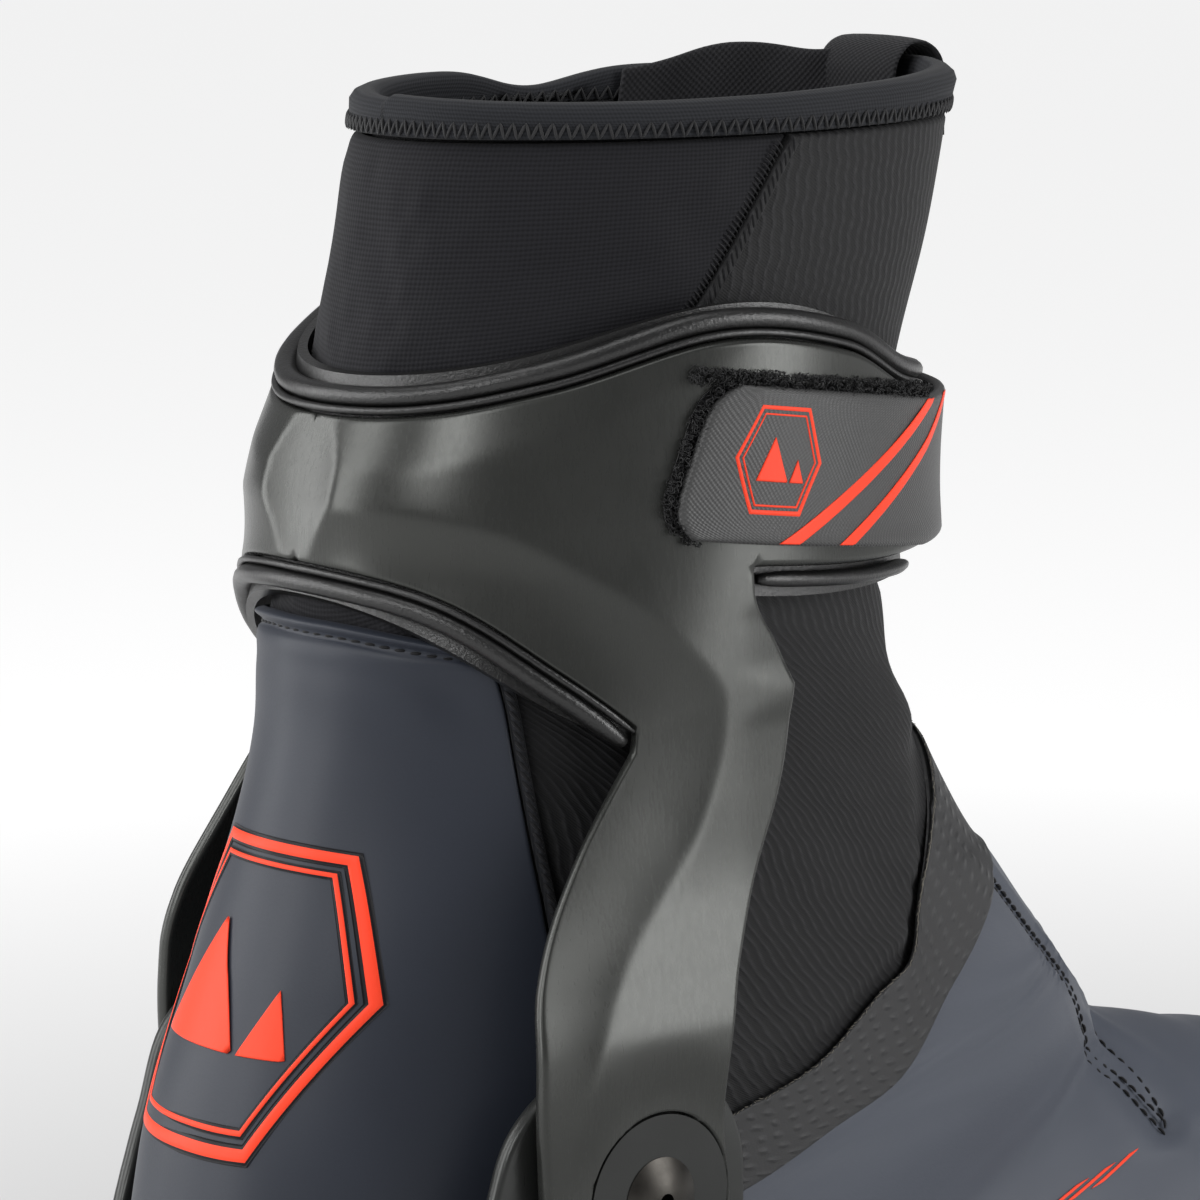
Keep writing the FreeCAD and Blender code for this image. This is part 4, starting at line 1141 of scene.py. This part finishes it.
def hair_template(sides=4, rings=6, thick=0.075, curl=0.42):
    """A curled fibre."""
    points = []
    for i in range(rings):
        turn = -0.9 + 4.4 * i / (rings - 1)
        for k in range(sides):
            a = 2 * math.pi / sides * k
            r = curl + thick * math.cos(a)
            points.append((r * math.cos(turn), thick * math.sin(a), r * math.sin(turn) + 0.1))
    quads, caps = tube_faces(rings, sides)
    return np.array(points), quads, [cap[::-1] for cap in caps]


points, faces = scatter(hair_template(), base + normal * spots[:, 2:3], tilt, spin)
piece("pile_fibres", points, faces, "fuzz", "cuff")

# ---- soft upper ----
def seam_t(u):
    """Seam between the rear and front panels of the collar."""
    return smooth([0.0, 0.5, 1.4, 2.6, 3.6, 4.6], [0.488, 0.53, 0.586, 0.655, 0.715, 0.745], u)


def cover_height(u, t):
    """How far the lacing under the shell lifts it, with the zip's ridge on the medial side."""
    tall = smooth([3.1, 3.9, 4.8, 5.7, 6.6, 10.0, 12.0, 13.6, 15.0],
                  [0.0, 0.8, 1.4, 3.2, 5.0, 5.4, 4.6, 2.2, 0.6], np.clip(u, 3.1, 15))
    tall = tall * (1 - ease(np.abs(t), 0.13, 0.42))
    forefoot = 2.3 * ease(u, 13.0, 15.0) * ease(u, 20.0, 17.0) * (1 - ease(np.abs(t), 0.1, 0.5))
    zip_ridge = 2.0 * bump_at(t, -0.145, 0.045) * ease(u, 6.3, 7.0) * ease(u, 12.6, 11.8)
    return tall + forefoot + zip_ridge


def settled(u, t, grow, pressure, cap, step=3):
    """Heights at which a slightly loose panel comes to rest between its sewn edges, by cloth simulation."""
    picked = [np.unique(np.append(np.arange(0, n, step), n - 1)) for n in u.shape]
    chosen = np.ix_(*picked)
    base, normal = upper(u[chosen], t[chosen])
    count = base.shape[:2]
    pattern = bpy.data.meshes.new("pattern")
    pattern.from_pydata((base.reshape(-1, 3) / 1000).tolist(), [], grid_faces(*count, False).tolist())
    thing = bpy.data.objects.new("pattern", pattern)
    scene.collection.objects.link(thing)
    number = np.arange(count[0] * count[1]).reshape(count)
    sewn = sorted(set(number.ravel().tolist()) - set(number[2:-2, 2:-2].ravel().tolist()))
    thing.vertex_groups.new(name="sewn").add(sewn, 1.0, "REPLACE")
    sim = thing.modifiers.new("cloth", "CLOTH")
    sim.settings.quality = 6
    sim.settings.vertex_group_mass = "sewn"
    sim.settings.bending_stiffness = 0.3
    sim.settings.shrink_min = -grow
    sim.settings.use_pressure = True
    sim.settings.uniform_pressure_force = pressure
    sim.settings.effector_weights.gravity = 0
    sim.collision_settings.use_collision = False
    for number_of_frame in range(1, 21):
        scene.frame_set(number_of_frame)
    shaped = thing.evaluated_get(bpy.context.evaluated_depsgraph_get()).to_mesh()
    place = np.zeros(len(shaped.vertices) * 3)
    shaped.vertices.foreach_get("co", place)
    rise = np.sum((place.reshape(base.shape) * 1000 - base) * normal, -1)
    bpy.data.objects.remove(thing)
    scene.frame_set(1)
    rise = cap * np.tanh(rise / cap)
    rows, columns = [np.arange(n) for n in u.shape]
    rise = np.stack([np.interp(rows, picked[0], rise[:, j]) for j in range(count[1])], 1)
    return np.stack([np.interp(columns, picked[1], rise[i]) for i in rows], 0)


def cover_top(t):
    """u of the heel cover's top edge."""
    return 4.30 + 0.14 * ease(np.abs(t - 1), 0.05, 0.25)


def cover_front(u):
    """t of the heel cover's front edge."""
    x = smooth([4.4, 4.7, 5.7, 7.0, 7.6, 9.0, 11.0], [36.2, 38.2, 40.4, 42.4, 43.6, 52.0, 62.0], u)
    return upper_t(u, x)


BAND_IN = [(4.95, 0.0), (5.2, 0.15), (5.6, 0.24), (6.14, 0.30), (7.2, 0.335), (8.18, 0.355), (8.5, 0.388),
           (9.13, 0.451), (9.33, 0.52), (9.45, 0.60), (9.5, 0.70)]
BAND_OUT = [(6.0, 0.0), (6.3, 0.13), (7.31, 0.206), (8.84, 0.313), (9.81, 0.378), (9.99, 0.448),
            (10.13, 0.506), (10.2, 0.6), (10.3, 0.72)]


# u of the collar panels' top edge, which the rim covers, and of the ends under the shells
COLLAR_TOP, REAR_END, ANKLE_END = 0.26, 5.3, 10.6

# collar, rear panel
down, over = table_of(fractions(78, 1.1), fractions(150, 1.25, FINE_EDGE))
U = COLLAR_TOP + down * (REAR_END - COLLAR_TOP)
T = seam_t(U) + over * (2 - 2 * seam_t(U))
soft = panel("collar_rear_panel", upper(U, T), -2.4, 0.0, "neoprene", "shaft",
             ["collar_rear"], lambda a, d: 0.12 * wobble(a, d, 46, 11) + settled(U, T, 0.015, 0.6, 0.5)
             - 0.5 * ease(d, 8, 0))

# collar, front panel, which runs down over the ankle
down, over = table_of(fractions(170, 1.25), fractions(150, 1.25, FINE_EDGE))
U = COLLAR_TOP + down * (ANKLE_END - COLLAR_TOP)
limit = seam_t(np.minimum(U, 4.6)) + 0.11 * ease(U, 4.2, 5.4)
T = -limit + over * 2 * limit


def ankle_folds(a, d):
    """Gathers beside the heel cover and soft drag lines over the ankle."""
    folds = 0.4 * np.sin(np.abs(T) * 95 + 2.0 * np.sin(U * 0.9))
    folds = folds * ease(np.abs(T), 0.56, 0.64) * ease(U, 4.6, 5.4)
    drag = 0.3 * wobble(np.abs(T) * 90 + U * 5, U * 9 - np.abs(T) * 25, 15, 23) * ease(U, 3.6, 5.2)
    buckle = 0.7 * np.sin(U * 7.5 + np.abs(T) * 9) * bump_at(U, 5.0, 0.9) * bump_at(np.abs(T), 0.12, 0.2)
    swell = cover_height(U, T) - 1.1 * ease(U, 5.5, 6.6) * cover_height(U, T) / 5.4
    band_u = np.interp(np.abs(T), [t for _, t in BAND_IN], [u for u, _ in BAND_IN])
    heel_t = np.where(U > 4.2, cover_front(np.maximum(U, 4.4)), 2)
    beside_heel = ease(np.abs(T), heel_t - 0.07, heel_t - 0.015)
    open_part = (1 - ease(U, band_u - 0.6, band_u - 0.05)) * (1 - beside_heel)
    loose = settled(U, T, 0.05, 0.8, 1.3) * ease(U, 2.6, 3.6) * open_part
    sunk = 0.7 * ease(U, band_u - 0.05, band_u + 0.5)
    return (folds + drag + buckle) * open_part + swell + loose - sunk - 0.4 * (1 - open_part)


soft = panel("ankle_front_panel", upper(U, T), -2.2, 0.0, "twill", "shaft",
             ["collar_front", "ankle_bellows"], ankle_folds)

# the two panels are joined by a raised overlocked seam
for side, tag in SIDES:
    U = np.linspace(0.3, 4.3, 130)
    path, normal = upper(U, side * (seam_t(U) - 0.008))
    ridge = sweep(path + normal * 0.15, normal, ring_profile(1.0, 0.5, 10))
    made_of("collar_seam_" + tag, [ridge], "twill", "shaft")
    rope = stitch_row((path + normal * 0.5, normal), 1.3, 2.3, 0.27, 0.1, 0.7 * side)
    row = stitch_row(upper(U, side * (seam_t(U) + 0.007)), 0.8, 2.0, 0.15, 0.12, 1.45)
    made_of("collar_seam_thread_" + tag, [rope, row], "thread", "shaft")

# folded rim of the collar, one closed ring of soft foam and cloth
around = np.linspace(-1, 1, 341)[:-1]
stations = [(5.3, -0.05), (5.2, 0.2), (4.7, 0.32), (3.6, 0.34), (2.6, 0.5), (1.4, 0.62), (0.4, 0.1),
            (-0.25, -1.0), (-0.4, -2.0), (-0.3, -3.0), (0.1, -3.8), (0.9, -4.25), (2.2, -4.35),
            (3.6, -4.3), (4.8, -4.2), (5.2, -3.9)]
depth, lift = np.array(stations).T[:, :, None] + 0 * around
lift = lift + 0.12 * wobble(around * 120, 0 * around, 14, 3)
dip = 0.5 * np.sin(around * 7) + 0.9 * bump_at(np.abs(around), 0.0, 0.16)
dip = dip - 3.0 * bump_at(around, -0.5, 0.07)
base, normal = upper((depth - dip * (depth < 3)) / RIM_SCALE, around[None] + 0 * depth)
rim = base + normal * lift[..., None]
count = len(around)
faces = grid_faces(len(stations) + 1, count, True) % (len(stations) * count)
flat = np.stack([around[None] * HALF_GIRTH + 0 * depth, depth], -1).reshape(-1, 2)
q = rim.reshape(-1, 3)[faces[2 * count]]
if np.dot(np.cross(q[1] - q[0], q[2] - q[0]), normal[2, 0]) < 0:
    faces = faces[:, ::-1]
soft = piece("collar_rim", rim.reshape(-1, 3), faces.tolist(), "binding", "cuff",
             ["collar_binding"], flat)


def zigzag(depth_a, depth_b, offset, pitch):
    """Zigzag stitching round the rim."""
    t = np.arange(-1, 1, pitch / HALF_GIRTH)
    d = np.where(np.arange(len(t)) % 2, depth_a, depth_b)
    base, normal = upper(d / RIM_SCALE, t)
    points = base + normal * offset
    nxt = np.roll(points, -1, axis=0)
    middle = (points + nxt) / 2
    good = np.linalg.norm(nxt - points, axis=1) < 6
    return scatter(thread_template(2.5, 0.23, 0.1), middle[good], (nxt - points)[good], normal[good])


made_of("rim_zigzag", [zigzag(3.0, 5.3, 0.6, 0.85), zigzag(3.2, 5.2, -4.45, 0.95)], "rim_thread", "cuff")

# lining, from the rim down the shaft and through the boot
rows = np.concatenate([np.linspace(0.2, 12, 90), np.linspace(12.3, 21.8, 60)])
U, T = table_of(rows, np.linspace(-1, 1, 161)[:-1])
soft = panel("boot_lining", upper(U, T), -3.8, -2.6, "lining", "shaft",
             ["collar_lining", "bootie_liner"], lambda a, d: 0.2 * wobble(a, d, 30, 8) - 0.5, wrap=True)


# heel cover
HEEL_END = 11.1  # u of its lower edge, inside the chassis
down, over = table_of(fractions(140, 1.15, (0.0, 0.12, 0.35, 0.7, 1.1, 1.5, 1.9, 2.3, 2.7, 3.2)),
                      fractions(118, 1.25))
U = 4.35 + down * 6.75
for _ in range(2):  # the top and front edges depend on each other, so the grid is fitted twice
    first = cover_front(U)
    T = first + over * (2 - 2 * first)
    U = cover_top(T) + down * (HEEL_END - cover_top(T))


def lip(a, d):
    """Turned top edge, its stitched groove, and the soft dents of the shell below it."""
    turned = 1.1 * bump_at(d, 0.95, 0.85) - 0.75 * bump_at(d, 2.35, 0.6) + 0.4 * bump_at(d, 4.4, 2.0)
    corner = 0.6 * bump_at(d, 9, 5) * bump_at(np.minimum(a, a[:, -1:] - a), 7, 5)
    return turned + 0.22 * wobble(a, d, 34, 17) * ease(d, 3, 10) - corner


soft = panel("heel_shell", upper(U, T), 0.3, 1.5, "slate", "shaft", ["heel_cover"], lip)

T = np.linspace(float(cover_front(4.5)) + 0.01, 2 - float(cover_front(4.5)) - 0.01, 400)
U = cover_top(T) + 0.195
path, normal = upper(U, T)
row = stitch_row((path + normal * 1.02, normal), 2.3, 1.95, 0.27, 0.16, 0.16)
made_of("heel_top_stitches", [row], "thread", "shaft")
for side, tag in SIDES:
    U = np.linspace(4.5, 9.5, 260)
    path, normal = upper(U, side * (cover_front(U) - 0.0085))
    piping = sweep(path + normal * 0.6, normal, ring_profile(0.95, 0.95, 10))
    made_of("heel_piping_" + tag, [piping], "binding", "shaft")
    row = stitch_row((path + normal * 1.3, normal), 1.5, 2.4, 0.32, 0.15, 0.55 * side)
    made_of("heel_piping_thread_" + tag, [row], "thread", "shaft")


def heel_place(p, q):
    """(points, normals) at millimetres round and up the heel, from the badge's centre."""
    u = 7.93 - np.asarray(q, float) / 20.5
    half_girth = smooth([5, 6, 7, 8, 9, 10], [98, 112, 122, 130, 140, 150], u)
    t = 1.0 - np.asarray(p, float) / half_girth - 0.0008 * np.asarray(q, float)
    return upper(u, t)


emblem("heel_badge", heel_place, 23.5, "shaft", 1.62, 1.84, True)

# shell over the instep and the forefoot: vamp and lace cover in one
shell_stops = ([5.6, 6.0, 6.5, 8.0, 9.0, 9.5, 9.7, 9.9, 10.1, 10.4, 10.8, 11.5],
               [0.10, 0.20, 0.25, 0.33, 0.375, 0.45, 0.52, 0.65, 0.78, 0.92, 1.0, 1.0])
SEAM_U = [5.28, 5.68, 6.33, 7.61, 9.61, 11.2, 12.5, 13.52, 14.16, 14.42]
SEAM_T = [0.266, 0.257, 0.221, 0.189, 0.150, 0.128, 0.145, 0.183, 0.236, 0.262]
FLAP_U = [14.42, 14.3, 13.78, 13.04, 12.2, 11.4]
FLAP_T = [0.262, 0.236, 0.172, 0.104, 0.05, 0.0]
rows = np.concatenate([np.linspace(5.6, 13.4, 95), np.linspace(13.5, 22.9, 120)])
U, over = table_of(rows, fractions(200, 1.5, (0.0, 0.15, 0.4, 0.9)))
limit = np.clip(np.interp(U, *shell_stops), 0, 0.9995)
T = -limit + 2 * limit * over


def line_gap(u, t, line_u, line_t):
    """Distance in millimetres from a line drawn on the instep."""
    points = np.stack([u.ravel(), np.abs(t).ravel()], -1) * FLAT_SCALE
    return reach(points, curve(np.stack([line_u, line_t], -1) * FLAT_SCALE, 1.0)).reshape(u.shape)


def shell_relief(a, d):
    seam = line_gap(U, T, SEAM_U, SEAM_T)
    flap = line_gap(U, T, FLAP_U, FLAP_T)
    inner = np.abs(T) < np.interp(U, SEAM_U, SEAM_T)
    height = cover_height(U, T)
    height = height - 0.8 * bump_at(seam, 0, 1.0) + 0.5 * bump_at(seam, 2.2, 1.3) * np.where(inner, 1, 0.5)
    height = height - 0.9 * bump_at(flap, 0, 1.5) + 0.6 * bump_at(flap, 3.0, 1.8) * np.where(inner, 1, 0.3)
    pucker = 0.8 * bump_at(U, 14.9, 0.5) * bump_at(np.abs(T), 0.3, 0.07)
    crease = 0.55 * np.sin((U - 15) * 3.6) * bump_at(U, 16.6, 1.3) * (1 - ease(np.abs(T), 0.15, 0.45))
    loose = settled(U, T, 0.014, 0.5, 0.7) * ease(U, 14.7, 16)
    return height + pucker + crease + loose + 0.1 * wobble(a, d, 40, 31) - 0.6 * ease(U, 21.5, 22.5)


soft = panel("instep_shell", upper(U, T), -0.8, 0.4, "shell", "shaft",
             ["vamp", "lace_cover"], shell_relief)


def on_instep(line_u, line_t, lift, step=0.6):
    u, t = (curve(np.stack([line_u, line_t], -1) * FLAT_SCALE, step) / FLAT_SCALE).T
    base, normal = upper(u, t)
    return base + normal * (lift + cover_height(u, t))[:, None], normal


for side, tag in SIDES:
    lines = [on_instep(SEAM_U[2:], [side * (t + gap) for t in SEAM_T[2:]], 0.0) for gap in (-0.004, 0.009)]
    parts = [stitch_row(line, 2.1, 1.75, 0.27, 0.22) for line in lines]
    flap_line = on_instep(FLAP_U[:4], [side * t for t in FLAP_T[:4]], -0.3)
    parts.append(stitch_row(flap_line, 2.1, 1.75, 0.27, 0.2))
    made_of("instep_seam_" + tag, parts, "thread", "shaft")


# welded band over the instep
def whole_line(half, count):
    """An edge of the band from the medial end to the lateral end."""
    line = curve(np.array(half) * FLAT_SCALE, 1.0)
    both = np.vstack([line[::-1] * np.array([1, -1]), line[1:]])
    run = run_of(both)
    return read_at(fractions(run[-1], run[-1] / count) * run[-1], run, both) / FLAT_SCALE


inner_line = whole_line(BAND_IN, 150)
outer_line = whole_line(BAND_OUT, 150)
n = min(len(inner_line), len(outer_line))
inner_line, outer_line = inner_line[:n], outer_line[:n]
across_share = fractions(13, 1.0, (0.0, 0.12, 0.35, 0.7))
line = inner_line[:, None] + (outer_line - inner_line)[:, None] * across_share[None, :, None]
U, T = line[..., 0], line[..., 1]
soft = panel("instep_band_film", upper(U, T), 0.35, 1.1, "band", "shaft",
             ["instep_band"], lambda a, d: cover_height(U, T) - 0.35 * bump_at(
                 line_gap(U, T, SEAM_U, SEAM_T), 0, 0.9), radius=0.3)

draw = random.Random(19)
frayed = whole_line(BAND_IN, 520)
frayed = frayed[10:-10]
base, normal = upper(frayed[:, 0], frayed[:, 1])
base = base + normal * (cover_height(frayed[:, 0], frayed[:, 1]) + 0.95)[:, None]
ahead = unit(np.gradient(base, axis=0))
jitter = np.array([[draw.uniform(-0.5, 0.5) for _ in range(3)] for _ in base])
fibres = scatter(thread_template(0.9, 0.055, 0.05), base + jitter * 0.25, ahead + jitter, normal)
made_of("band_frayed_edge", [fibres], "pale_thread", "shaft")

# three plain bars where the forefoot carries a print
for k in range(3):
    loop = np.array([(-2.3, -4.6), (0.3, -4.6), (2.3, 4.6), (-0.3, 4.6)])

    def bar_place(a, b, shift=k * 5.2):
        u = 14.06 - (a + shift) * 0.035 + b * 0.03
        t = 0.315 + (shift + a) * 0.0035 - b * 0.0055
        base, normal = upper(u, t)
        return base + normal * cover_height(u, t)[..., None], normal

    points, faces, flat = print_on(loop, bar_place, 0.7, 1.2, 0.5, 0.68)
    piece("forefoot_bar_" + str(k + 1), points, faces, "orange", "shaft", cloth=flat)

# tongue, laces and their loops under the cover
down, over = table_of(fractions(70, 2.0), fractions(40, 2.0))
U = 5.9 + down * 6.3
T = -0.17 + 0.34 * over
soft = panel("tongue_pad", upper(U, T), 0.2, 1.5, "lining", "shaft", ["tongue"],
             lambda a, d: 0.15 * wobble(a, d, 12, 4))
LACE_ROWS = [8.85, 9.5, 10.15, 10.8, 11.45]
lace_parts = []
loop_parts = []
for u0 in LACE_ROWS:
    for side, high in ((1, 2.3), (-1, 3.1)):
        t = np.linspace(-1, 1, 40)
        base, normal = upper(u0 - 0.4 * t * side, 0.16 * t)
        path = base + normal * (high - 0.25 * t * t)[:, None]
        lace_parts.append(sweep(path, normal, ring_profile(0.95, 0.32, 10)))
    for side in (1, -1):
        turn = np.linspace(0, math.pi, 18)
        base, normal = upper(u0 + 0 * turn, side * (0.17 + 0.018 * np.cos(turn)))
        path = base + normal * (0.5 + 2.2 * np.sin(turn))[:, None]
        bar = unit(np.cross(np.gradient(path, axis=0), upper(np.array([u0 + 0.3]), side * 0.17)[0]
                            - upper(np.array([u0]), side * 0.17)[0]))
        loop_parts.append(sweep(path, bar, ring_profile(2.1, 0.4, 10)))
made_of("lace_runs", lace_parts, "webbing", "root", ["laces"])
made_of("lace_webbing_loops", loop_parts, "webbing", "root", ["lace_loops"])

# webbing loop over the front of the rim
turn = np.linspace(0, math.pi, 26)
ARCH_LOW, ARCH_HIGH = 229.5, 239.0
rise = np.linspace(ARCH_LOW, ARCH_HIGH, 12)
inner_x, outer_x = 132.0, 142.3
radius = (outer_x - inner_x) / 2
arch_x = np.concatenate([inner_x + 0 * rise, inner_x + radius - radius * np.cos(turn[1:-1]),
                         outer_x + 0 * rise])
arch_z = np.concatenate([rise, ARCH_HIGH + radius * np.sin(turn[1:-1]), rise[::-1]])
arch = resample(np.stack([arch_x, 0 * arch_x, arch_z], -1), 0.8)
arch[:, 1] += bend(arch[:, 0]) + 3.0
outward = np.cross(unit(np.gradient(arch, axis=0)), np.array([0, 1.0, 0]))
points, faces = sweep(arch, outward, ring_profile(9.0, 0.62, 16))
piece("pull_webbing", points, faces, "webbing", "cuff", ["pull_loop"],
      np.stack([points[:, 1], points[:, 2] + points[:, 0]], -1))

# folded end of the webbing along the medial side of the rim
down, over = table_of(fractions(13, 1.0, (0.0, 0.2, 0.5)), fractions(44, 1.2, (0.0, 0.2, 0.5)))
T = -0.40 + 0.36 * over
crown = 0.02 - 0.15 * ease(T, -0.40, -0.27) + 0.07 * bump_at(T, -0.15, 0.06)
U = crown + down * (0.42 - crown)
panel("pull_tab", upper(U, T), -5.9, -4.5, "webbing", "cuff", (),
      lambda a, d: 0.5 * np.sin(a * 0.5) * ease(d, 8, 0))

# ---- finishes of the nodes whose shape stays ----
CARRIED = {
    "sole_plate": "sole", "forefoot_tread": "tread", "heel_tread": "tread", "toe_bar": "steel",
    "insole_board": "board", "footbed": "foam", "toe_cap": "toe", "cuff_pad": "bead",
    "pivot_disc_lateral": "disc", "pivot_disc_medial": "disc", "pivot_rivet_lateral": "rivet",
    "pivot_rivet_medial": "rivet", "pivot_nuts": "steel", "lace_lock_body": "lock",
    "lace_lock_button": "button", "zip_tape": "zip_tape", "zip_coil": "zip", "zip_slider": "zip_metal",
    "zip_pull": "zip_metal", "strap_rivets": "rivet",
}
f = Finish("zip_tape_weave", Sheen_Weight=0.2)
spot = f.places(False)
px, py, pz = f.split(spot)
weave = f.waves(px - pz, 0.8) * f.waves(py, 0.7)
# painted shade and highlight: the tape is darker in its weave's hollows and lighter on its raised threads,
# following the bump height
tone = f.mix(weave, rgb(24, 24, 26), rgb(46, 46, 50))
looks["zip_tape"] = f.finish(tone, f.span(weave, 0, 1, 0.9, 0.75), weave, 0.1)
for node, look in CARRIED.items():
    for slot_number in range(len(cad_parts[node].material_slots)):
        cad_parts[node].material_slots[slot_number].material = looks[look]

# ---- floor, light and finish ----
floor = bpy.data.meshes.new("floor")
floor.from_pydata([(-12, -12, 0), (12, -12, 0), (12, 12, 0), (-12, 12, 0)], [], [(0, 1, 2, 3)])
ground = bpy.data.objects.new("floor", floor)
scene.collection.objects.link(ground)
tone = Finish("studio_floor", Roughness=0.9, Specular_IOR_Level=0.0)
place = tone.places(False)
x, y, _ = tone.split(place)
# painted shadow pool: the floor glows by its own emission, dim within about 150 mm of the boot and bright
# beyond 640 mm, so the boot sits in painted shade
distance = tone.math("SQRT", x * x + y * y)
floor_glow_with_painted_shadow_pool = tone.mix(tone.span(distance, 150, 640, 0, 1), rgb(140, 140, 140), rgb(232, 232, 232))
tone.put(tone.surface.inputs["Emission Color"], floor_glow_with_painted_shadow_pool)
tone.surface.inputs["Emission Strength"].default_value = 1.0
mottled = tone.mix(tone.noise(place, 900, 2), rgb(150, 150, 150), rgb(154, 154, 154))
floor.materials.append(tone.finish(mottled))

world = bpy.data.worlds.new("studio")
world.use_nodes = True
sky = world.node_tree.nodes["Background"]
sky.inputs[0].default_value = rgb(244, 244, 246)
seen = world.node_tree.nodes.new("ShaderNodeLightPath").outputs["Is Camera Ray"]
strength = world.node_tree.nodes.new("ShaderNodeMath")
strength.operation = "MULTIPLY_ADD"
world.node_tree.links.new(seen, strength.inputs[0])
strength.inputs[1].default_value = 0.7
strength.inputs[2].default_value = 0.26
world.node_tree.links.new(strength.outputs[0], sky.inputs[1])
scene.world = world


def soft_light(name, place, aim, size, power, tint=(1, 1, 1)):
    light = bpy.data.lights.new(name, "AREA")
    light.shape = "RECTANGLE"
    light.size, light.size_y = size
    light.energy = power
    light.color = tint
    thing = bpy.data.objects.new(name, light)
    thing.location = place
    thing.rotation_euler = (Vector(aim) - Vector(place)).to_track_quat("-Z", "Y").to_euler()
    scene.collection.objects.link(thing)


soft_light("left", (-0.95, 0.3, 0.45), (-0.1, 0, 0.14), (0.3, 0.8), 5)
soft_light("rear_left", (-0.62, 0.72, 0.4), (-0.12, 0, 0.15), (0.25, 0.8), 4)
soft_light("front_left", (-0.9, -0.33, 0.7), (-0.1, 0, 0.17), (0.28, 0.45), 3.5)
soft_light("right", (0.45, -0.75, 0.42), (-0.05, 0, 0.12), (0.32, 0.8), 6.5)
soft_light("top", (-0.1, 0.1, 1.2), (-0.08, 0, 0.1), (0.7, 0.7), 4)
scene.view_settings.view_transform = "Standard"
